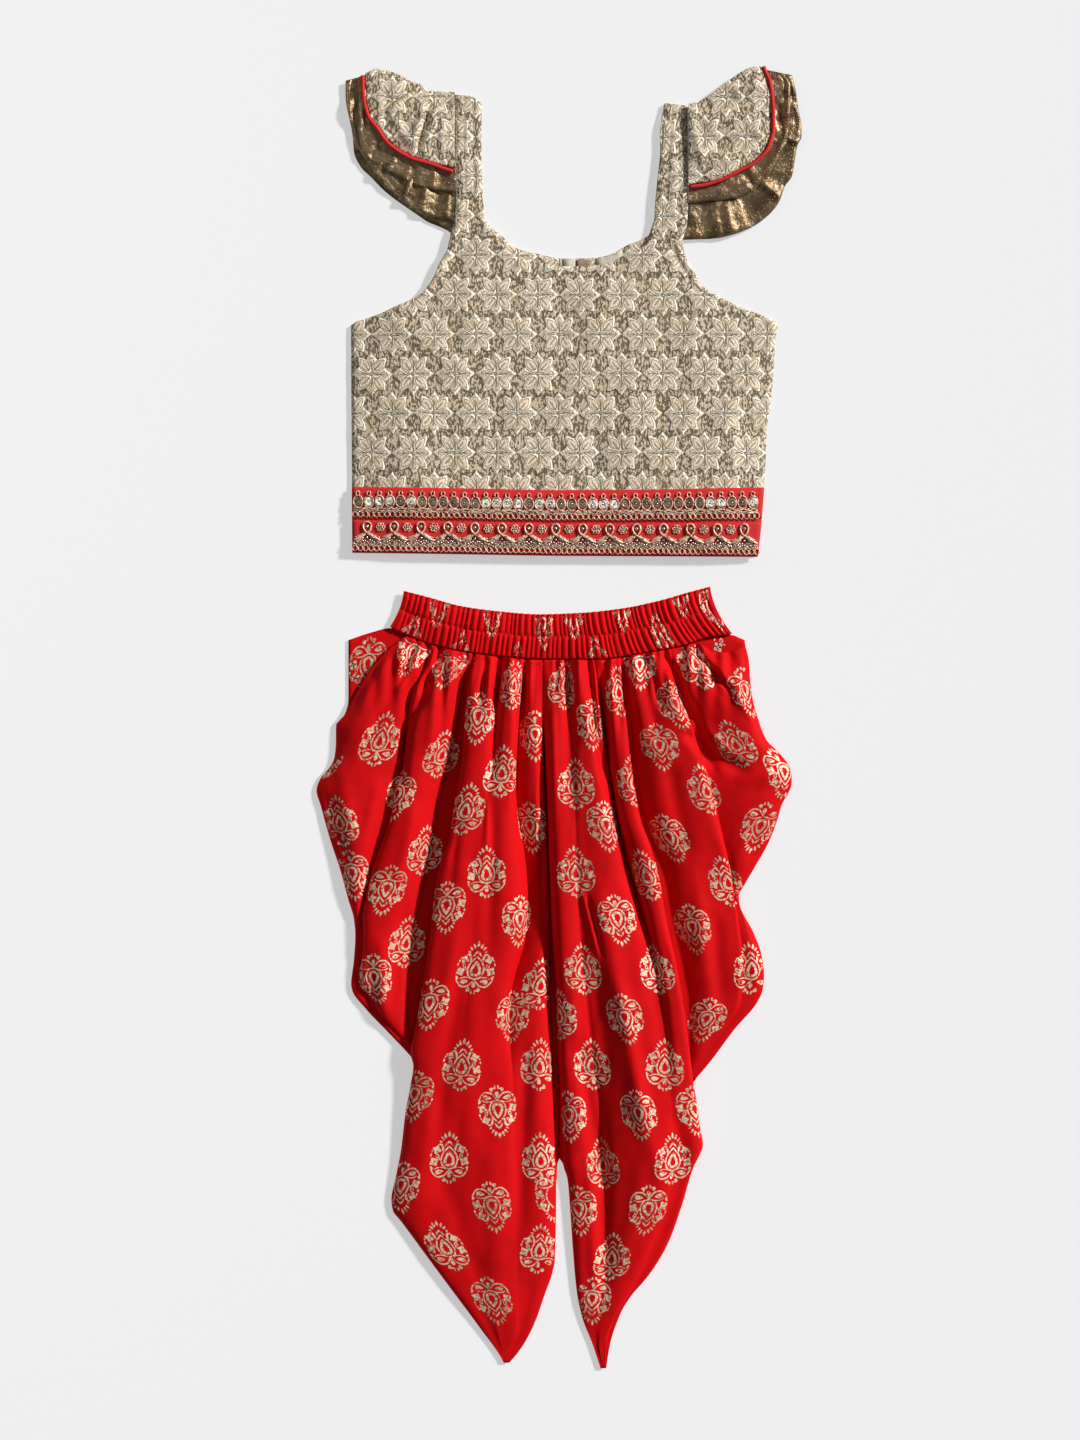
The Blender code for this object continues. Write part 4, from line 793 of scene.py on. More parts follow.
def crease_field(x, y, creases):
    """The sum of soft ridges and troughs, each fading at both ends."""
    total = np.zeros_like(x)
    for x0, y0, x1, y1, height, width in creases:
        dx, dy = x1 - x0, y1 - y0
        length2 = dx * dx + dy * dy
        s = ((x - x0) * dx + (y - y0) * dy) / length2
        off = ((x - x0) * dy - (y - y0) * dx) / math.sqrt(length2)
        ends = smooth((s + 0.25) / 0.35) * smooth((1.25 - s) / 0.45)
        total += (1.3 if height > 0 else 1.7) * height * ends * np.exp(-((off / width) ** 2))
    return total


def level(x, y, seam, base, straight):
    """The nominal height of a point, before the rows bend up to the seam."""
    rise = float(through(seam, x)) - SEAM_GAP - base
    span = base - straight
    nominal = (y + rise * straight / span) / (1 + rise / span)
    return float(nominal) if nominal > straight else float(y)


def folded(name, lines, seam, cells, step=2.4):
    """A panel's grid: its folds lie between the lines, and gathers and creases are added on them."""
    base, straight = 42.0, -30.0
    last = min(level(points[-1][0], points[-1][1], seam, base, straight) for kind, points in (lines[0], lines[-1]))
    rows = np.linspace(base, last, int((base - last) / step) + 1)
    xs, zs = [], []
    for kind, points in lines:
        nominal = [level(p[0], p[1], seam, base, straight) for p in points]
        nominal[0] = max(nominal[0], base)
        xs.append(curve(nominal, [p[0] for p in points], rows))
        zs.append(2.3 + (curve(nominal, [p[2] for p in points], rows) - 3.0) * 1.25)
    rank = {"low": 0, "mid": 1, "high": 2}
    leans = LEANS.get(name, [0] * len(cells))
    x, z, edge = [], [], []
    for k, count in enumerate(cells):
        up = rank[lines[k + 1][0]] - rank[lines[k][0]]
        for c in range(count + (k == len(cells) - 1)):
            s = c / count
            if up > 0:
                ease = math.sin(math.pi / 2 * s) ** 0.85
            elif up < 0:
                ease = 1 - math.cos(math.pi / 2 * s) ** 0.85
            else:
                ease = s
            rise = np.abs(zs[k + 1] - zs[k])
            lean = leans[k] * math.sin(math.pi * s) * np.clip(rise / 9, 0, 1)
            x.append(xs[k] + (xs[k + 1] - xs[k]) * s + (-lean if up > 0 else lean))
            z.append(zs[k] + (zs[k + 1] - zs[k]) * ease)
    x = np.stack(x, axis=1)
    z = np.stack(z, axis=1)
    rise = through(seam, x) - SEAM_GAP - base
    bend = np.clip((rows - straight) / (base - straight), 0, None)[:, None]
    y = rows[:, None] + rise * bend
    width = x[:, -1:] - x[:, :1]
    inside = smooth((x - x[:, :1]) / 9) * smooth((x[:, -1:] - x) / 9) * smooth(width / 30)
    fall = (base - rows)[:, None]
    gather = np.sin(2 * math.pi * (x + 1.5 * np.sin(x / 11)) / 7.2) * (0.7 + 0.5 * np.sin(x / 5.3 + 1))
    long_gather = np.sin(2 * math.pi * (x + 2 * np.sin(x / 17)) / 13.0 + 0.8)
    z = z * (0.62 + 0.38 * smooth(fall / 16))
    z += inside * (1.3 * gather * np.exp(-fall / 11) + 1.5 * long_gather * np.exp(-((fall - 12) / 24) ** 2))
    z += inside * crease_field(x, y, CREASES.get(name, []))
    z += inside * (0.30 * ripple(x, y * 0.45, 5.5, len(name)) + 0.10 * ripple(x, y * 0.7, 2.4, 3.0))
    return Sheet(np.stack([x, y, np.maximum(z, 1.85)], axis=2))


def drop(length, width, count=12):
    """A petal outline round the origin, its point up, as points and one fan of faces."""
    turn = 2 * math.pi * np.arange(count) / count
    tall = np.cos(turn)
    wide = np.sin(turn) * (1 - 0.34 * tall) * np.abs(np.sin(turn / 2)) ** 0.35 * 1.06
    points = np.stack([wide * width / 2, tall * length / 2], axis=1)
    return points, [tuple(range(count))]


def band(line, widths, count=0):
    """A flat stroke along a line of points."""
    line = np.asarray(line, float)
    if count:
        widths = np.interp(np.linspace(0, 1, count), np.linspace(0, 1, len(line)), np.broadcast_to(widths, len(line)))
        line = along(line, count)
    ahead = np.gradient(line, axis=0)
    ahead /= np.maximum(np.linalg.norm(ahead, axis=1), 1e-9)[:, None]
    side = np.stack([-ahead[:, 1], ahead[:, 0]], axis=1)
    half = np.broadcast_to(widths, (len(line),))[:, None] / 2
    points = np.concatenate([line + side * half, line - side * half])
    n = len(line)
    return points, [(i, i + 1, i + 1 + n, i + n) for i in range(n - 1)]


def ring(length, width, thickness, count=20):
    """A drop-shaped outline, its point up."""
    outer, faces = drop(length, width, count)
    inner, faces = drop(length - 2.4 * thickness, width - 2 * thickness, count)
    inner[:, 1] -= 0.3 * thickness
    n = count
    return np.concatenate([outer, inner]), [(i, (i + 1) % n, (i + 1) % n + n, i + n) for i in range(n)]


def turned(shape, angle, x, y):
    points, faces = shape
    c, s = math.cos(angle), math.sin(angle)
    return np.stack([points[:, 0] * c - points[:, 1] * s + x, points[:, 0] * s + points[:, 1] * c + y], axis=1), faces


def arc(x, y, radius, start, end, count=7, squash=1.0):
    turn = np.radians(np.linspace(start, end, count))
    return np.stack([x + radius * np.cos(turn), y + radius * squash * np.sin(turn)], axis=1)


def booti():
    """The printed motif, 28 by 38 mm: a drop in an outline, leaves and flowers beside it, a crown and a base."""
    shapes = [
        turned(ring(11.6, 8.0, 1.95), 0, 0, 0.2),
        band([(-2.7, 9.3), (-1.6, 11.2), (0, 12.5), (1.6, 11.2), (2.7, 9.3)], [0.7, 1.2, 1.5, 1.2, 0.7]),
        turned(drop(4.8, 2.7), 0, 0, -11.3),
    ]
    for turn, reach, length, width in ((0, 8.4, 4.4, 2.0), (22, 7.5, 3.8, 1.75), (43, 6.9, 3.3, 1.6), (66, 6.6, 2.2, 1.3)):
        for side in (-1, 1) if turn else (1,):
            angle = math.radians(turn) * side
            x, y = math.sin(angle) * reach, 9.9 + math.cos(angle) * reach
            shapes.append(turned(drop(length, width), -angle, x, y))
    for side in (-1, 1):
        mirror = (side, 1)
        outline = [(0, -7.4), (2.9, -6.6), (5.2, -4.0), (5.9, -0.6), (5.1, 2.8), (3.3, 5.6), (1.4, 7.6), (0, 9.2)]
        shapes.append(band(np.array(outline) * mirror, [1.0, 1.0, 1.05, 1.1, 1.1, 1.0, 1.0, 1.1], 12))
        flare = [(4.0, 4.3), (4.3, 6.6), (4.7, 8.9), (6.0, 10.7), (7.7, 10.4)]
        shapes.append(band(np.array(flare) * mirror, [0.6, 1.3, 1.7, 1.6, 0.6], 8))
        cup = [(0, -7.8), (1.7, -9.9), (4.3, -12.4), (8.0, -13.1), (11.2, -11.0), (13.3, -7.6)]
        shapes.append(band(np.array(cup) * mirror, [0.8, 1.0, 1.15, 1.15, 1.1, 0.8], 12))
        rim = [(2.8, -7.2), (5.2, -6.1), (8.4, -6.2), (11.0, -7.6)]
        shapes.append(band(np.array(rim) * mirror, [0.5, 0.8, 0.8, 0.5], 6))
        shapes.append(turned(drop(6.0, 3.4), side * math.radians(82), side * 7.1, -9.3))
        shapes.append(turned(drop(3.0, 1.8), side * math.radians(-30), side * 13.0, -6.2))
        for x, y, size, start in ((8.9, 6.9, 1.0, 20), (11.0, -1.8, 1.08, 60)):
            for petal in range(4):
                turn = math.radians(start + 90 * petal)
                reach = 1.75 * size
                spot = (side * (x + reach * math.cos(turn)), y + reach * math.sin(turn))
                shapes.append(turned(drop(3.3 * size, 3.0 * size, 10), side * (turn - math.pi / 2), *spot))
        shapes.append(turned(drop(2.7, 1.3, 8), side * 0.2, side * 13.2, 3.4))
        shapes.append(turned(drop(2.0, 1.2, 8), side * 0.5, side * 12.3, 6.1))
        shapes.append(turned(ring(3.2, 2.8, 0.65, 10), 0, side * 8.5, 2.5))
        shapes.append(band(np.array([(5.9, -0.9), (7.0, -0.2), (7.6, 1.2)]) * mirror, 0.7))
        shapes.append(turned(drop(3.2, 3.0, 10), 0, side * 3.7, -15.0))
        shapes.append(turned(drop(3.0, 1.6, 8), side * math.radians(168), side * 1.3, -16.9))
    return shapes


def under_motifs(sheet):
    """The motifs on a back panel's lower face, in the print's own even rows."""
    spots = []
    for column in range(-6, 7):
        for row in range(-8, 3):
            x, y = column * 34.0 + 17.0, row * 69.0 + (34.5 if column % 2 else 0.0)
            i, j = sheet.nearest(x, y)
            if np.hypot(sheet.grid[i, j, 0] - x, sheet.grid[i, j, 1] - y) < 3:
                spots.append((x, y, -1 if column % 2 else 1))
    return spots


def printed(sheet, name, material, lift=0.14, below=None, squeeze=1.0):
    """The foil print: each motif's shapes laid on the cloth, measured along it, so that folds cut them."""
    heap = Heap()
    motif = booti()
    marks = [(sheet, mark) for mark in MOTIFS[name]]
    if below is not None:
        marks += [(below, mark) for mark in under_motifs(below)]
    for number, (sheet, (x, y, crown)) in enumerate(marks):
        spot = sheet.nearest(x, y)
        over = (x - sheet.grid[spot][0]) * squeeze
        down = sheet.grid[spot][1] - y
        tilt = 0.08 * wobble(number, 2)
        c, s = math.cos(tilt) * crown, math.sin(tilt) * crown
        for points, faces in motif:
            placed, inside = [], True
            for a, b in points:
                across = over + (a * c - b * s) * squeeze
                point, on = sheet.place(spot, across, down - (a * s + b * c), lift)
                placed.append(point)
                inside = inside and on
            if inside:
                heap.add(placed, faces)
    return heap.mesh(f"{name}_print", material)


def sheet_area(sheet, kept=None):
    """The cloth's own area in square metres and its width and length in metres."""
    g = sheet.grid * MM
    cross = np.cross(g[1:, :-1] - g[:-1, :-1], g[:-1, 1:] - g[:-1, :-1])
    size = np.linalg.norm(cross, axis=2)
    if kept is not None:
        size = size * kept
    wide = float(sheet.run[:, -1].max()) * MM
    long = float(sheet.fall[-1]) * MM
    return float(size.sum()), wide, long


def flat_back(name, lines, seam, material):
    """A back panel, pressed flat on what it lies on, and the same face seen from below."""
    shell = folded(name, lines, seam, [60], 3.6)
    shell.grid[:, :, 2] = 1.35
    if name == "left_leg_back":
        shell.grid[:, -1, 0] += 0.7 * (shell.grid[:, -1, 1] > -335)
    shell = Sheet(shell.grid)
    floor = underside(shell)
    below = Sheet(floor)
    below.normal = below.normal * (1, 1, -1)
    return shell, below, shell.mesh(name + "_cloth", material, bottom=floor)


def pants(red, gold, thread):
    left_seam = LEFT_FLAP_TOP + SEAM
    right_seam = SEAM + RIGHT_FLAP_TOP
    backs = {
        "left_leg_back": (
            [("low", [(p[0] + 1.0, p[1], 2) for p in LEFT_OUTLINE]),
             ("low", [(-0.2, 42, 2), (-0.2, -319, 2)] + [(p[0] - 0.2, p[1], 2) for p in LEFT_INSEAM])], left_seam),
        "right_leg_back": (
            [("low", [(0.2, 42, 2), (0.2, -319, 2)] + [(p[0] + 0.2, p[1], 2) for p in RIGHT_INSEAM]),
             ("low", [(p[0] - 1.0, p[1], 2) for p in RIGHT_OUTLINE])], right_seam),
    }
    for name, (lines, seam) in backs.items():
        shell, below, cloth = flat_back(name, lines, seam, red)
        foil_piece = printed(shell, name, gold, below=below)
        area, wide, long = sheet_area(shell)
        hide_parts(name)
    fronts = (
        ("left_side_drape", LEFT_DRAPE, SEAM, [16, 16, 18, 18, 6]),
        ("right_side_drape", RIGHT_DRAPE, RIGHT_DRAPE_TOP, [6, 20, 12, 12, 20, 20]),
        ("left_leg_front", LEFT_LEG, SEAM, [16, 10, 10, 16, 18, 14]),
        ("right_leg_front", RIGHT_LEG, SEAM, [14, 12, 16, 18, 18, 16]),
    )
    for name, lines, seam, cells in fronts:
        shell = folded(name, lines, seam, cells)
        cloth = shell.mesh(name + "_cloth", red, rest=1.45)
        foil_piece = printed(shell, name, gold)
        area, wide, long = sheet_area(shell)
        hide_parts(name)


def band_point(u, v):
    """A place on the laid waistband: u across it and v down it, both from 0 to 1."""
    high = WAIST_TOP[0][0] + (WAIST_TOP[-1][0] - WAIST_TOP[0][0]) * u
    low = SEAM[0][0] + (SEAM[-1][0] - SEAM[0][0]) * u
    y_high = through(WAIST_TOP, high)
    y_low = through(SEAM, low)
    flare = 0.25 * v + 0.75 * v * v
    return high + (low - high) * flare, y_high + (y_low - y_high) * v


def waistband(red, gold, thread):
    """The elastic casing: two rows of fine gathers with a stitched line between and one near the upper edge."""
    gathers = 58
    per = 9
    columns = gathers * per + 1
    v = np.linspace(0, 1, 34)[:, None]
    u = np.linspace(0, 1, columns)[None, :]
    edges = np.array([0.0] + [k + 0.40 * wobble(k, 5) for k in range(1, gathers)] + [gathers])
    lower_edges = np.array([0.0] + [k + 0.40 * wobble(k, 11) for k in range(1, gathers)] + [gathers])
    sizes = np.array([0.75 + 0.35 * wobble(k, 9) for k in range(gathers)])
    lower_sizes = np.array([0.75 + 0.35 * wobble(k, 14) for k in range(gathers)])
    upper = v < 0.5
    slant = np.where(upper, 0.55 * np.sin(5.0 * u + 0.6) * (v - 0.5), -0.75 * np.cos(6.5 * u) * (v - 0.5))
    spread = np.sin(math.pi * np.clip(u, 0, 1)) ** 0.3
    phase = np.clip(u * gathers + slant * spread * 1.6, 0, gathers - 1e-6)
    cell = np.clip(np.searchsorted(edges, phase, side="right") - 1, 0, gathers - 1)
    lower_cell = np.clip(np.searchsorted(lower_edges, phase, side="right") - 1, 0, gathers - 1)
    within = np.where(
        upper,
        (phase - edges[cell]) / (edges[cell + 1] - edges[cell]),
        (phase - lower_edges[lower_cell]) / (lower_edges[lower_cell + 1] - lower_edges[lower_cell]),
    )
    crest = np.abs(np.sin(math.pi * within)) ** 0.65
    size = np.where(upper, sizes[cell], lower_sizes[lower_cell])
    channel = np.sin(math.pi * np.clip(v / 0.5 - (v >= 0.5), 0, 1)) ** 0.55
    channel = np.where(np.abs(v - 0.5) < 0.03, 0.55, 0.55 + 0.45 * channel)
    x, y = band_point(u, v)
    rounded = 1 - (2 * u - 1) ** 8
    middle = 4.2 + 2.0 * rounded * np.sin(math.pi * (0.10 + 0.80 * v)) ** 0.6
    free = smooth(u / 0.02) * smooth((1 - u) / 0.02)
    groove = 0.3 * np.exp(-(((v - 0.5) / 0.035) ** 2)) + 0.5 * np.exp(-(((v - 0.06) / 0.03) ** 2))
    z = middle + (2.5 * crest * size * channel - 1.1) * free - groove
    y = y + 0.35 * (crest - 0.5) * (v < 0.05) * free
    shell = Sheet(np.stack([x + 0 * z, y + 0 * z, z], axis=2))
    floor = shell.grid.copy()
    floor[:, :, 2] = middle - 1.6
    cloth = shell.mesh("waistband_front_cloth", red, bottom=floor)
    foil_piece = printed(shell, "waistband_front", gold, 0.12, squeeze=0.62)
    area, wide, long = sheet_area(shell)
    stitches = Heap()
    for at in (0.06, 0.5):
        row = int(round(at * 33))
        line = shell.grid[row, 4:-4:3]
        for k in range(0, len(line) - 1, 2):
            ends = np.stack([line[k], (line[k] + line[k + 1]) / 2, line[k + 1]]) + UP * 0.12
            stitches.add(*tube(ends, 0.17, 4))
    sewing = stitches.mesh("waistband_stitching", thread)
    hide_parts("waistband_front")
    u = np.linspace(0.004, 0.996, 120)[None, :]
    v = np.linspace(0.02, 1, 8)[:, None]
    x, y = band_point(u, v)
    z = 1.9 + 0 * x
    back = Sheet(np.stack([x, y - 0.8 + 0 * z, z], axis=2))
    floor = back.grid.copy()
    floor[:, :, 2] = 0.05
    cloth = back.mesh("waistband_back_cloth", red, bottom=floor)
    area, wide, long = sheet_area(back)
    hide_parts("waistband_back")


# Soft creases of the top and of the sleeves' pieces, read as those of the pants are.
TOP_CREASES = {
    "top_front": [
        (33, 316, 28, 300, -0.8, 1.2), (66, 314, 60, 296, -0.7, 1.2), (34, 312, 24, 260, 0.7, 6),
        (-120, 290, -70, 250, 0.8, 8), (-140, 240, -95, 215, 0.7, 9), (-60, 320, -66, 270, 0.8, 7),
        (100, 300, 96, 250, 0.8, 8), (130, 250, 105, 215, -0.8, 7), (60, 250, 50, 190, 0.7, 9),
        (-30, 230, -38, 175, 0.8, 9), (-85, 215, -80, 172, -0.8, 8), (5, 300, 0, 240, -0.6, 9),
        (-66, 430, -68, 380, 0.5, 4), (84, 420, 83, 370, 0.5, 4), (-62, 350, -88, 310, -0.8, 4),
        (78, 345, 100, 308, -0.9, 4), (120, 215, 124, 176, 0.9, 7), (28, 215, 26, 172, -0.7, 8),
    ],
    "left_sleeve_cap": [
        (-107, 452, -135, 433, -1.5, 1.1), (-105, 449, -132, 430, 1.0, 2.6), (-112, 457, -136, 441, 0.7, 3),
        (-80, 447, -94, 437, -1.5, 1.2), (-94, 437, -101, 411, -1.7, 1.2), (-98, 437, -106, 412, 1.1, 3.2),
        (-88, 437, -95, 410, 0.9, 3.4), (-83, 431, -86, 404, 0.5, 3), (-118, 430, -108, 413, 0.6, 3),
        (-124, 448, -126, 430, -0.5, 3),
    ],
    "right_sleeve_cap": [
        (104, 436, 128, 447, -0.7, 3), (108, 428, 140, 434, 0.8, 4), (112, 410, 142, 418, -0.7, 3.5),
        (100, 402, 130, 404, 0.7, 4), (126, 452, 143, 455, 0.6, 3), (98, 420, 104, 394, 0.6, 3),
    ],
    "left_ruffle_inner": [
        (-140, 452, -143, 425, 0.8, 2), (-128, 412, -136, 403, -0.8, 2), (-104, 396, -108, 384, -0.7, 2),
        (-90, 392, -92, 380, 0.8, 2.6), (-118, 402, -124, 394, 0.7, 2.4),
    ],
    "left_ruffle_outer": [
        (-112, 388, -118, 374, -1.4, 1.5), (-107, 386, -113, 371, 1.2, 2.4), (-96, 380, -99, 364, 1.2, 3.4),
        (-86, 378, -88, 360, -0.9, 2.4), (-128, 400, -134, 388, 0.9, 2.4), (-150, 445, -152, 425, 0.8, 2),
        (-80, 374, -82, 360, 0.8, 2),
    ],
    "right_ruffle_inner": [
        (166, 462, 165, 428, 0.9, 1.8), (160, 412, 150, 392, 1.0, 2), (150, 392, 128, 379, 1.0, 2),
        (118, 379, 104, 374, 0.7, 2), (158, 440, 160, 424, -0.8, 2.2), (140, 384, 134, 392, -0.8, 2.2),
    ],
    "right_ruffle_outer": [
        (168, 448, 174, 440, -0.8, 2), (160, 420, 173, 414, 0.9, 2.2), (150, 392, 166, 384, -1.3, 2.4),
        (146, 386, 160, 374, 1.2, 3), (134, 372, 140, 356, -0.8, 3), (120, 370, 124, 350, 0.9, 4),
        (104, 368, 106, 348, -0.7, 3), (112, 369, 115, 349, 0.7, 3.4),
    ],
}


def torso(rows, columns, inset, neck_lift):
    """Points over the top's outline. A column is a number from 0 at the left edge to 3 at the right one."""
    def edge(table):
        return curve([p[1] for p in table], [p[0] for p in table], rows)

    lines = [
        edge(TOP_LEFT) + inset,
        edge(STRAP_LEFT_IN) - inset * 0.5,
        edge(STRAP_RIGHT_IN) + inset * 0.5,
        edge(TOP_RIGHT) - inset,
    ]
    neck_start = 361.0
    grid = np.zeros((len(rows), len(columns), 3))
    for j, c in enumerate(columns):
        k = min(int(c), 2)
        grid[:, j, 0] = lines[k] + (lines[k + 1] - lines[k]) * (c - k)
    grid[:, :, 1] = rows[:, None]
    neck = through(NECK, grid[:, :, 0])
    neck = neck + neck_lift * smooth((neck_start - neck) / 25)
    bend = smooth((rows - 235) / (neck_start - 235))[:, None]
    middle = (np.asarray(columns)[None, :] > 1) & (np.asarray(columns)[None, :] < 2)
    grid[:, :, 1] += np.where(middle, (neck - neck_start) * bend, 0)
    tops = through(STRAP_TOPS, grid[:, :, 0])
    share = smooth((rows - 410) / 37)[:, None]
    grid[:, :, 1] += np.where(middle, 0, (tops - 447) * share)
    return grid


def torso_kept(rows, columns):
    middle = (0.5 * (rows[:-1] + rows[1:]))[:, None] > 361
    centre = 0.5 * (np.asarray(columns)[:-1] + np.asarray(columns)[1:])[None, :]
    return ~(middle & (centre > 1) & (centre < 2))


def front_height(x, y):
    """How high the laid front stands: down on the back at its side seams and shoulders, a little air between."""
    side = smooth((x + 150) / 45) * smooth((158 - x) / 45) * smooth((452 - y) / 60)
    body = smooth((y - 105) / 60) * smooth((375 - y) / 90)
    soft = 0.5 * np.sin(x / 31 + y / 90) * np.sin(y / 43 + 0.6) + 0.35 * np.sin(x / 17 - y / 37)
    return 3.05 + side * (1.7 + 1.5 * body + 0.7 * soft * body)


def droop(x, y):
    """How far the hem band and its trims drop from where they start at the left."""
    upper = through([(-150, 0.0), (-70, 1.3), (0, 2.5), (60, 2.2), (146, 0.5)], x)
    lower = through([(-150, 0.0), (-70, 1.2), (0, 2.3), (60, 2.6), (146, 3.0)], x)
    share = np.clip((np.asarray(y, float) - 125) / 32, 0, 1)
    return lower + (upper - lower) * share


def share_columns(first, middle, last):
    parts = [np.linspace(0, 1, first + 1)[:-1], np.linspace(1, 2, middle + 1)[:-1], np.linspace(2, 3, last + 1)]
    return np.concatenate(parts)


def finished(shell, name, flat_name, kept=None):
    """Hides the CAD node that a piece of cloth stands for, after working out the cloth's area."""
    area, wide, long = sheet_area(shell, kept)
    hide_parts(name)
    min(area, wide * long * 0.98)


def stitched(points, material, name, radius=0.16, every=2):
    """A row of short stitches along a line of points."""
    heap = Heap()
    for k in range(0, len(points) - 1, every):
        a, b = points[k], points[k + 1]
        middle = (a + b) / 2 + UP * radius
        heap.add(*tube(np.stack([a, middle, b]), radius, 4))
    return heap.mesh(name, material)


def torso_sheet(rows, columns, inset, neck_lift, height):
    grid = torso(rows, columns, inset, neck_lift)
    grid[:, :, 2] = height(grid[:, :, 0], grid[:, :, 1])
    return Sheet(grid)


def underside(shell, low=0.12, high=0.45):
    """The lower face of a flat piece, pressed on what it lies on, with soft shallow creases."""
    floor = shell.grid.copy()
    x, y = floor[:, :, 0], floor[:, :, 1]
    soft = 0.5 + 0.5 * ripple(x, y * 0.4, 9, 2.0)
    floor[:, :, 2] = low + (high - low) * soft
    return floor


def top_front(brocaded, thread):
    rows = np.concatenate([np.linspace(HEM_Y + 4, 361, 84), np.linspace(361, 447, 30)[1:]])
    columns = share_columns(30, 44, 26)
    kept = torso_kept(rows, columns)

    def height(x, y):
        left = curve([p[1] for p in TOP_LEFT], [p[0] for p in TOP_LEFT], np.clip(y, 116, 447))
        right = curve([p[1] for p in TOP_RIGHT], [p[0] for p in TOP_RIGHT], np.clip(y, 116, 447))
        reach = np.minimum(x - left, right - x)
        z = front_height(x, y) + crease_field(x, y, TOP_CREASES["top_front"]) * smooth(reach / 10)
        z += 0.16 * ripple(x, y, 7, 1.0) + 0.10 * ripple(x, y, 3.1, 4.0)
        inner = np.where(y > 352, np.minimum(np.abs(x - through([(352, -50), (361, -54), (379, -55), (447, -56)], y)),
                                             np.abs(x - through([(352, 68), (361, 69), (408, 73), (447, 76)], y))), 99)
        neck = np.where((x > -54) & (x < 69), through(NECK, x) - y, 99)
        rim = np.minimum(np.minimum(reach, inner), np.abs(neck))
        z -= 0.75 * np.exp(-((rim / 1.3) ** 2)) - 0.22 * np.exp(-(((rim - 3.4) / 1.6) ** 2))
        z -= 0.28 * np.exp(-(((rim - 6.5) / 0.8) ** 2))
        return np.where(y < BAND_Y + 2, np.minimum(z, front_height(x, y)), z)

    shell = torso_sheet(rows, columns, 0.0, 0.0, height)
    cloth = shell.mesh("top_front_cloth", brocaded, kept=kept)
    for side, column in (("left", 1), ("right", len(columns) - 2)):
        line = shell.grid[86:, column] + UP * 0.12
        run = [line[k] + (line[k + 1] - line[k]) * s for k in range(len(line) - 1) for s in (0.0, 0.5)]
        stitched(np.array(run), thread, f"strap_stitching_{side}", 0.2)
    finished(shell, "top_front", "top", kept)


def top_back(brocaded, lining, facing):
    split = (CENTRE_BACK + 54) / 123 + 1
    share = 0.2 / 123
    rows = np.concatenate([np.linspace(BAND_Y + 0.35, 361, 50), np.linspace(361, 447, 18)[1:]])
    columns = share_columns(12, 26, 12)
    halves = (
        ("top_back_left", np.concatenate([columns[columns < split - 0.02], [split - share]])),
        ("top_back_right", np.concatenate([[split + share], columns[columns > split + 0.02]])),
    )
    for name, chosen in halves:
        shell = torso_sheet(rows, chosen, 1.0, 6.0, lambda x, y: 1.4 + 0 * x)
        kept = torso_kept(rows, chosen)
        cloth = shell.mesh(name + "_cloth", brocaded, kept=kept, bottom=underside(shell))
        inside = torso_sheet(rows[40:50], chosen, 1.4, 5.4, lambda x, y: 1.78 + 0.05 * np.sin(x / 3.1))
        middle = (chosen > 1.0) & (chosen < 2.0)
        middle &= ((chosen > 1.62) & (chosen < 1.82)) if name.endswith("right") else (chosen > 1.44)
        inside = Sheet(inside.grid[:, middle])
        lined = inside.mesh(name + "_facing", lining, skin=0.3)
        finished(shell, name, "back", kept)
    ys = np.linspace(HEM_Y + 1, 330, 60)
    xs = np.linspace(CENTRE_BACK - 1, CENTRE_BACK + PLACKET_WIDTH - 1, 8)
    x, y = np.meshgrid(xs, ys)
    z = 2.6 + 0.12 * np.sin(y / 2.3) * np.sin(x / 1.7)
    shell = Sheet(np.stack([x, y, z], axis=2))
    floor = shell.grid.copy()
    floor[:, :, 2] = 1.9
    cloth = shell.mesh("back_placket_cloth", facing, bottom=floor)
    finished(shell, "back_placket", "placket", None)
    hooks = Heap()
    for k, y in enumerate(np.linspace(184, 316, 6)):
        for x, wide in ((CENTRE_BACK - 3.2, 2.3), (CENTRE_BACK + 3.2, 2.0)):
            loop = [(x + wide * math.cos(a), y + 1.5 * math.sin(a), 0.34) for a in np.linspace(0.4, 5.9, 16)]
            hooks.add(*tube(loop, 0.3, 6))
    return hooks


HEM_START = 118.4  # the hem at its left end


def hem_band(red, thread):
    rows = np.concatenate([[HEM_START, HEM_START + 0.8], np.linspace(HEM_START + 2, BAND_Y, 26)])
    columns = share_columns(34, 50, 30)
    rise = 1.35

    def height(x, y):
        z = front_height(x, y) + rise + 0.10 * ripple(x, y, 3.4, 2.0) + 0.12 * ripple(x, y * 0.3, 6.5, 5.0)
        z -= 0.7 * np.exp(-(((y - HEM_START) / 0.9) ** 2)) + 0.5 * np.exp(-(((y - BAND_Y) / 0.8) ** 2))
        return z

    shell = torso_sheet(rows, columns, 0.0, 0.0, height)
    shell.grid[:, :, 1] -= droop(shell.grid[:, :, 0], shell.grid[:, :, 1])
    shell = Sheet(shell.grid)
    floor = shell.grid.copy()
    floor[:, :, 2] = front_height(floor[:, :, 0], floor[:, :, 1]) + 0.35
    cloth = shell.mesh("hem_band_front_cloth", red, bottom=floor)
    finished(shell, "hem_band_front", "band", None)
    rows = np.linspace(HEM_START + 0.6, BAND_Y, 16)
    back = torso_sheet(rows, share_columns(12, 20, 12), 1.0, 0.0, lambda x, y: 1.4 + 0 * x)
    back.grid[:, :, 1] -= droop(back.grid[:, :, 0], 120) * smooth((BAND_Y - back.grid[:, :, 1]) / 20)
    back = Sheet(back.grid)
    cloth = back.mesh("hem_band_back_cloth", red, bottom=underside(back))
    finished(back, "hem_band_back", "band", None)


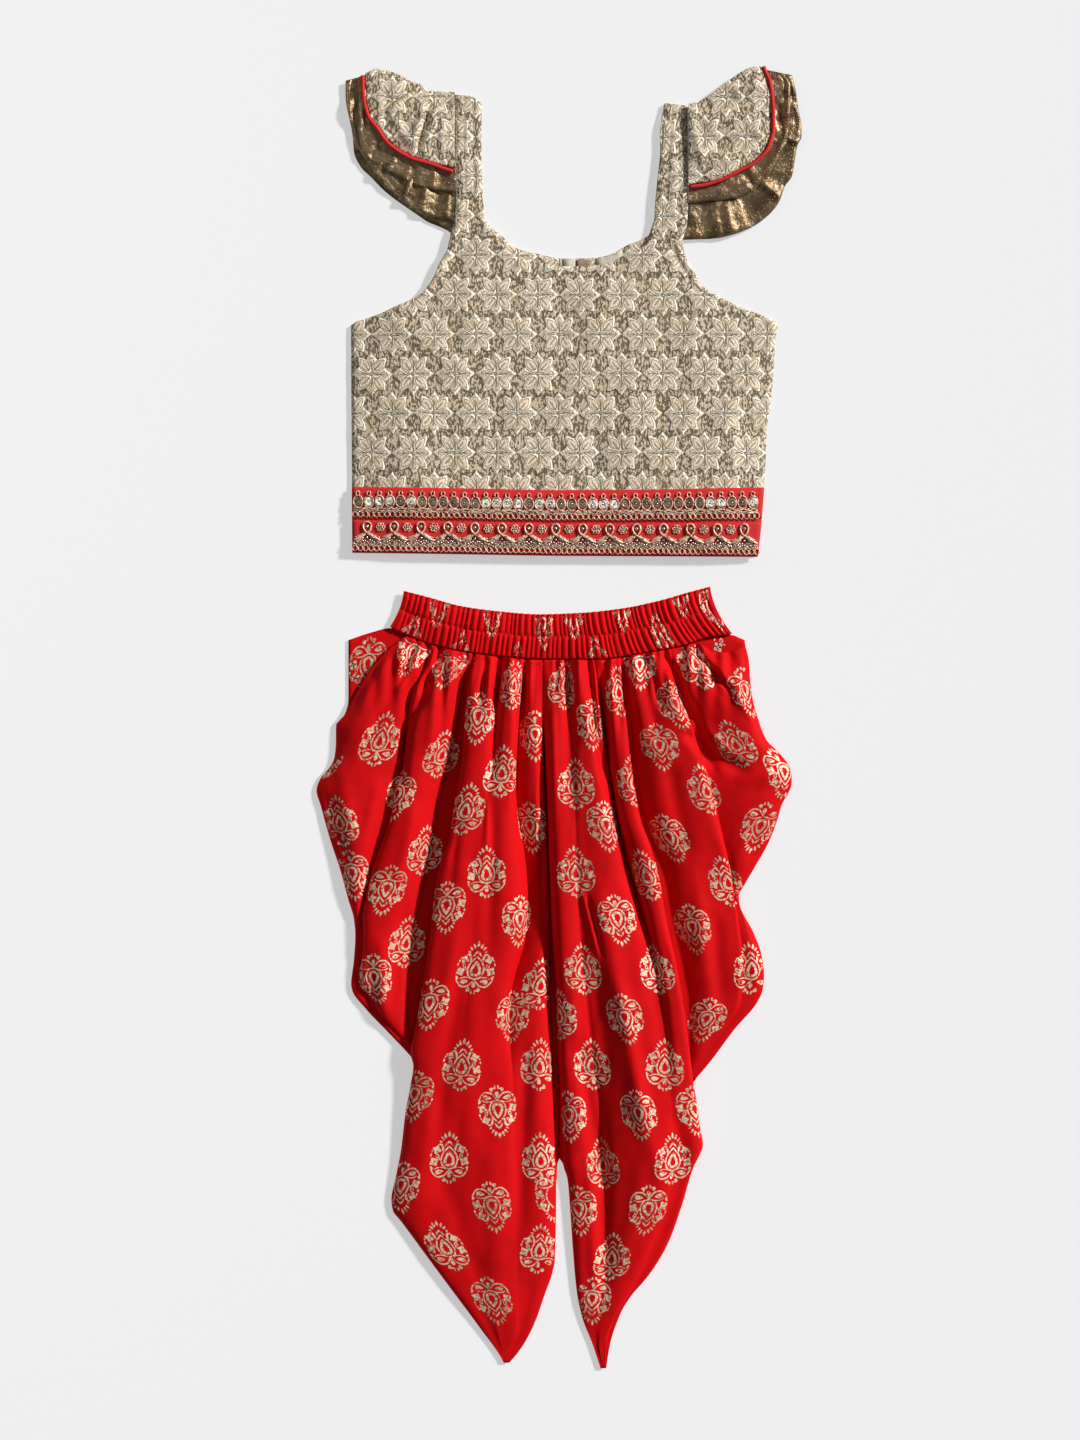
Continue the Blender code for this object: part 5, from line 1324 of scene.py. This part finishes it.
def on_front(points, rise):
    points = np.asarray(points, float)
    height = front_height(points[:, 0], points[:, 1]) + 2.7 + rise
    return np.column_stack([points[:, 0], points[:, 1] - droop(points[:, 0], points[:, 1]), height])


def oval(x, y, wide, tall, count=14):
    turn = 2 * math.pi * np.arange(count) / count
    return np.column_stack([x + wide * np.cos(turn), y + tall * np.sin(turn)])


def sequin(heap, x, y, radius, number):
    """A cupped disc with a hole, set at its own slight tilt."""
    profile = [(0.17, 0.02), (0.5, 0.32), (0.86, 0.38), (1.0, 0.10), (0.86, 0.14), (0.5, 0.12), (0.17, -0.12)]
    sides = 14
    base = on_front([(x, y)], 0.25)[0]
    lean_x = 0.2 * wobble(number, 1)
    lean_y = 0.2 * wobble(number, 6)
    points = []
    for share, rise in profile:
        for k in range(sides):
            a = 2 * math.pi * k / sides
            dx = radius * share * math.cos(a)
            dy = radius * share * math.sin(a)
            points.append(base + (dx, dy, rise + dx * lean_x + dy * lean_y))
    rings = len(profile)
    faces = []
    for i in range(rings):
        n = (i + 1) % rings
        for k in range(sides):
            m = (k + 1) % sides
            faces.append((i * sides + k, n * sides + k, n * sides + m, i * sides + m))
    heap.add(points, faces)


def bead(heap, x, y, radius, rise=0.5, tall=1.0):
    """A small round bead, lying on the trim."""
    centre = on_front([(x, y)], rise)[0]
    stacks, sides = 5, 8
    points = [centre + UP * radius * tall]
    for i in range(1, stacks):
        a = math.pi * i / stacks
        for k in range(sides):
            b = 2 * math.pi * k / sides
            spoke = np.array([math.sin(a) * math.cos(b), math.sin(a) * math.sin(b), math.cos(a) * tall])
            points.append(centre + radius * spoke)
    points.append(centre - UP * radius * tall)
    faces = [(0, 1 + k, 1 + (k + 1) % sides) for k in range(sides)]
    for i in range(stacks - 2):
        for k in range(sides):
            a = 1 + i * sides
            m = (k + 1) % sides
            faces.append((a + k, a + sides + k, a + sides + m, a + m))
    last = len(points) - 1
    faces += [(last, last - sides + (k + 1) % sides, last - sides + k) for k in range(sides)]
    heap.add(points, faces)


def ring_chain(heap, y, start, stop, pitch=3.86):
    """Small thread rings side by side, each a little uneven."""
    for k in range(int((stop - start) / pitch) + 1):
        x = start + k * pitch
        wide = 1.75 + 0.15 * wobble(k, 3)
        tall = 1.95 + 0.2 * wobble(k, 7)
        heap.add(*tube(on_front(oval(x, y + 0.2 * wobble(k, 2), wide, tall, 10), 0.35), 0.38, 5, True))


def wavy_cord(heap, y, start, stop, pitch, height, phase, radius, rise):
    xs = np.linspace(start, stop, int((stop - start) / pitch * 8))
    ys = y + height * np.sin(2 * math.pi * (xs - start) / pitch + phase)
    lift = 0.25 * np.cos(4 * math.pi * (xs - start) / pitch + phase)
    points = on_front(np.column_stack([xs, ys]), rise)
    points[:, 2] += lift
    heap.add(*tube(points, radius, 5))


def trims(red, thread, silver, beads):
    """Two machine-embroidered trims: sequins in cord rings above, looped leaves and rosettes below."""
    for name, low, high in TRIM_ROWS:
        rows = np.linspace(low, high, 12)
        shell = torso_sheet(rows, share_columns(30, 44, 26), 0.0, 0.0,
                            lambda x, y: front_height(x, y) + 2.4 + 0.10 * ripple(x, y, 2.6, 1.0))
        shell.grid[:, :, 1] -= droop(shell.grid[:, :, 0], shell.grid[:, :, 1])
        shell = Sheet(shell.grid)
        floor = shell.grid.copy()
        floor[:, :, 2] -= 0.7
        cloth = shell.mesh(name + "_cloth", red, bottom=floor)
        cord, discs, drops = Heap(), Heap(), Heap()
        if name == "trim_upper":
            for k in range(38):
                x = -144.8 + 7.69 * k
                y = 155.6 + 0.25 * wobble(k, 4)
                sequin(discs, x, y, 3.25 + 0.1 * wobble(k, 8), k)
                bead(drops, x, y, 0.75, 0.5)
                cord.add(*tube(on_front(oval(x, y, 3.35, 4.3, 18), 0.45), 0.46, 6, True))
                cord.add(*tube(on_front(oval(x + 0.3 * wobble(k, 5), y + 5.9, 1.35, 1.65, 10), 0.4), 0.4, 5, True))
            wavy_cord(cord, 149.9, -148, 143, 15.38, 0.9, 0.0, 0.5, 0.5)
            wavy_cord(cord, 149.7, -148, 143, 15.38, 0.9, math.pi, 0.5, 0.7)
            wavy_cord(cord, 150.6, -148, 143, 3.84, 0.45, 0.7, 0.42, 0.45)
            wavy_cord(cord, 148.6, -148, 143, 60, 0.15, 0.0, 0.42, 0.4)
            ring_chain(cord, 146.3, -147, 143)
        else:
            leaf = [(-9.6, -5.2), (-6.4, -3.9), (-3.2, -1.9), (0, 0), (2.3, 2.6), (2.9, 5.3), (1.7, 7.5), (0, 8.2),
                    (-1.7, 7.5), (-2.9, 5.3), (-2.3, 2.6), (0, 0), (3.2, -1.9), (6.4, -3.9), (9.6, -5.2)]
            path = along(leaf, 44)
            run = np.linspace(0, 1, 44)
            thick = 0.68 + 0.75 * np.exp(-(((run - 0.12) / 0.085) ** 2)) + 0.75 * np.exp(-(((run - 0.88) / 0.085) ** 2))
            for k in range(16):
                x = -138.2 + 19.4 * k - (0.0 if k < 15 else 0.0)
                y = 133.0 + 0.25 * wobble(k, 2)
                if x > 146:
                    continue
                points = on_front(path + (x, y), 0.5)
                points[:, 2] += 0.55 * smooth((run - 0.55) / 0.2)
                inside = (points[:, 0] < 144) & (points[:, 0] > -148.5)
                cord.add(*tube(points[inside], thick[inside], 6))
                for shift in (-1.9, 1.5):
                    beside = on_front(path * (0.96, 0.92) + (x, y + shift), 0.35)
                    kept = (np.abs(path[:, 0]) > 2.4) & (path[:, 1] < 0) & (beside[:, 0] < 143) & (beside[:, 0] > -148)
                    for half in (kept & (path[:, 0] < 0), kept & (path[:, 0] > 0)):
                        if half.sum() > 3:
                            cord.add(*tube(beside[half], 0.42, 5))
                bead(drops, x, y + 4.8, 1.35, 0.8, 0.9)
                for dx, dy in ((-3.4, -5.6), (0, -3.4), (3.4, -5.6), (-1.6, -5.4), (1.7, -5.3), (0, -6.4), (-4.8, -6.6), (4.8, -6.6),
                               (-7.4, -6.2), (7.4, -6.2), (-9.7, -7.4)):
                    bead(drops, x + dx, y + dy, 1.05, 0.6)
                middle = x + 9.7
                if middle < 143:
                    bead(drops, middle, y + 4.4, 0.8, 0.6)
                    for p in range(6):
                        a = p * math.pi / 3 + 0.3 * wobble(k, 3)
                        petal = oval(middle + 2.15 * math.cos(a), y + 4.4 + 2.15 * math.sin(a), 1.0, 1.0, 9)
                        cord.add(*tube(on_front(petal, 0.45), 0.38, 5, True))
            wavy_cord(cord, 125.7, -148, 143, 5.2, 0.8, 0.0, 0.38, 0.5)
            wavy_cord(cord, 125.5, -148, 143, 5.2, 0.8, math.pi, 0.38, 0.7)
            wavy_cord(cord, 124.2, -148, 143, 3.3, 0.4, 0.4, 0.34, 0.5)
            ring_chain(cord, 121.9, -147, 143)
        pieces = [cord.mesh(name + "_cord", thread), drops.mesh(name + "_beads", beads)]
        if discs.count:
            pieces.append(discs.mesh(name + "_sequins", silver))
        finished(shell, name, "trim", None)


def to_strap(grid, s):
    """Brings a sleeve piece's inner end up against the strap's edge."""
    side, gap = (TOP_LEFT, -0.3) if grid[:, -1, 0].mean() < 0 else (TOP_RIGHT, 0.3)
    edge = curve([p[1] for p in side], [p[0] for p in side], np.clip(grid[:, :, 1], 300, 447)) + gap
    share = smooth((s - 0.86) / 0.14)
    grid[:, :, 0] += (edge - grid[:, :, 0]) * share
    return grid


def fan(fold, hem, count, steps, start=0.0):
    """A grid from the shoulder fold to the hem, with how far each place is along both."""
    head = along(fold, count)
    tail = along(hem, count)
    s = np.linspace(0, 1, count)[None, :]
    t = np.linspace(start, 1, steps)[:, None]
    grid = np.zeros((steps, count, 3))
    for k in range(2):
        grid[:, :, k] = head[None, :, k] * (1 - t) + tail[None, :, k] * t
    return to_strap(grid, s), s, t


def tier(name, fold, hem, base, swell, waves, depth, material, thread, steps=34, hemmed=True):
    grid, s, t = fan(fold, hem, 120, steps)
    length = np.linalg.norm(grid[-1] - grid[0], axis=1)[None, :]
    edge = (1 - t) * length
    ends = smooth(s / 0.10) * smooth((1 - s) / 0.08)
    hump = np.sin(math.pi * np.clip(t, 0, 1)) ** 0.8
    wave = np.cos(2 * math.pi * waves * s + 1.6 * np.sin(5 * s) + 0.6) + 0.5 * np.sin(2 * math.pi * waves * 1.7 * s)
    x, y = grid[:, :, 0], grid[:, :, 1]
    z = base + swell * hump * (0.35 + 0.65 * ends) + depth * wave * t**1.5 * ends
    z = z + 1.8 * crease_field(x, y, TOP_CREASES.get(name, [])) * (0.25 + 0.75 * ends)
    z = z + (0.16 * ripple(x, y, 4.2, base) + 0.10 * ripple(x, y, 1.9, 2 * base)) * ends
    if hemmed:
        z = z + 0.35 * smooth((4.6 - edge) / 0.8) - 0.45 * np.exp(-(((edge - 4.9) / 0.7) ** 2))
    z = z - 0.5 * np.exp(-((edge / 0.7) ** 2))
    grid[:, :, 2] = np.maximum(z, base - 0.8)
    shell = Sheet(grid)
    cloth = shell.mesh(name + "_cloth", material, skin=0.7, rest=base - 1.25)
    if hemmed:
        row = int(round((1 - 4.2 / length.mean()) * (steps - 1)))
        line = shell.grid[row, 2:-2] + UP * 0.14
        stitched(line, thread, name + "_stitching", 0.18)
    finished(shell, name, "sleeve", None)
    return shell


def sleeve(side, fold, cap, inner, outer, under, made_of):
    brocaded, bronzed, red, thread = made_of
    shift = 0.6 if side == "left" else -0.6
    inset = [(p[0] + shift, p[1] - 1.2) for p in fold]
    grid, s, t = fan(inset, under, 60, 16)
    x, y = grid[:, :, 0], grid[:, :, 1]
    grid[:, :, 2] = 1.35 + 0.12 * ripple(x, y, 3.5, 1.0)
    shell = Sheet(grid)
    name = f"{side}_sleeve_under"
    cloth = shell.mesh(name + "_cloth", bronzed, bottom=underside(shell))
    finished(shell, name, "sleeve", None)
    tier(f"{side}_ruffle_outer", [(p[0] + shift, p[1] - 0.8) for p in fold], outer, 3.0, 0.7, 5, 0.42,
         bronzed, thread)
    tier(f"{side}_ruffle_inner", [(p[0] + shift / 2, p[1] - 0.4) for p in fold], inner, 4.9, 0.8, 4, 0.42,
         bronzed, thread)
    tier(f"{side}_sleeve_cap", fold, cap, 6.8, 1.5, 4, 0.35, brocaded, thread, 44, False)
    line = along(cap, 90)
    ahead = np.gradient(line, axis=0)
    outward = np.stack([ahead[:, 1], -ahead[:, 0]], axis=1) / np.linalg.norm(ahead, axis=1)[:, None]
    middle = (np.mean(fold, axis=0) + np.mean(cap, axis=0)) / 2
    if np.sum((line - middle) * outward) < 0:
        outward = -outward
    line = line + outward * 1.35
    box_low, box_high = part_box(f"{side}_sleeve_piping")
    height = box_high[2] / MM - 1.7 + 0.12 * np.sin(np.arange(90) / 3.3)
    centre = np.column_stack([line, height])
    radius = 1.45 + 0.05 * np.sin(np.arange(90) * 1.9)
    pipe = Heap()
    pipe.add(*tube(centre, radius, 14))
    cord = pipe.mesh(f"{side}_sleeve_piping_cord", red)
    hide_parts(f"{side}_sleeve_piping")


def aim(thing, place, target):
    thing.location = place
    thing.rotation_euler = (Vector(target) - Vector(place)).to_track_quat("-Z", "Y").to_euler()


def studio():
    """A pale floor, a soft key light from the upper right and an even dome."""
    bpy.ops.mesh.primitive_plane_add(size=20, location=(0, 0, -0.0002))
    floor = bpy.context.object
    floor.name = "floor"
    paper = bpy.data.materials.new("floor_paper")
    paper.use_nodes = True
    shader = paper.node_tree.nodes["Principled BSDF"]
    shader.inputs["Base Color"].default_value = (0.42, 0.42, 0.425, 1)
    shader.inputs["Roughness"].default_value = 0.9
    shader.inputs["Emission Color"].default_value = (1, 1, 1, 1)
    shader.inputs["Emission Strength"].default_value = 0.48
    floor.data.materials.append(paper)
    world = bpy.data.worlds.new("dome")
    world.use_nodes = True
    world.node_tree.nodes["Background"].inputs["Color"].default_value = (1.0, 0.995, 0.985, 1)
    world.node_tree.nodes["Background"].inputs["Strength"].default_value = 0.14
    bpy.context.scene.world = world
    key = bpy.data.lights.new("key", "SUN")
    key.energy = 4.75
    key.angle = math.radians(6)
    lamp = bpy.data.objects.new("key", key)
    bpy.context.scene.collection.objects.link(lamp)
    aim(lamp, (1.18, 0.66, 0.72), (0, 0, 0))
    side = bpy.data.lights.new("side", "AREA")
    side.energy = 2
    side.size = 0.9
    lamp = bpy.data.objects.new("side", side)
    bpy.context.scene.collection.objects.link(lamp)
    aim(lamp, (-1.1, 0.6, 1.0), (0, 0, 0))
    camera = bpy.data.cameras.new("camera")
    camera.lens = 85
    camera.sensor_width = 36
    camera.clip_end = 20
    eye = bpy.data.objects.new("camera", camera)
    bpy.context.scene.collection.objects.link(eye)
    height = VIEW_HEIGHT / 2 / (camera.sensor_width / 2 / camera.lens)
    eye.location = (VIEW_X, VIEW_Y, height + 0.008)
    eye.rotation_euler = (0, 0, 0)
    bpy.context.scene.camera = eye
    bpy.context.scene.view_settings.view_transform = "Standard"


# Where the photograph looks: the middle of its frame and the height that it takes in, in metres.
VIEW_X = -0.0137
VIEW_Y = -0.0022
VIEW_HEIGHT = 1.0368


def build():
    studio()
    printed_cloth = printed_red()
    red = plain_red()
    gold = foil()
    brocaded = brocade()
    bronzed = bronze()
    thread = gold_thread()
    red_thread = plain("red_thread", (0.40, 0.004, 0.006), 0.6)
    lining = plain("cream_lining", (0.62, 0.56, 0.44), 0.8)
    facing = plain("brown_facing_cloth", (0.30, 0.22, 0.13), 0.8)
    silver = sequin_metal()
    beads = plain("glass_beads", (0.62, 0.42, 0.36), 0.18, 0.6)
    wire = plain("hook_wire", (0.55, 0.50, 0.44), 0.3, 0.9)
    top_back(brocaded, lining, facing)
    top_front(brocaded, thread)
    hem_band(red, thread)
    trims(red, thread, silver, beads)
    made_of = (brocaded, bronzed, red, thread)
    sleeve("left", LEFT_FOLD, LEFT_CAP, LEFT_INNER, LEFT_OUTER, LEFT_UNDER, made_of)
    sleeve("right", RIGHT_FOLD, RIGHT_CAP, RIGHT_INNER, RIGHT_OUTER, RIGHT_UNDER, made_of)
    waistband(printed_cloth, gold, red_thread)
    pants(printed_cloth, gold, red_thread)


build()
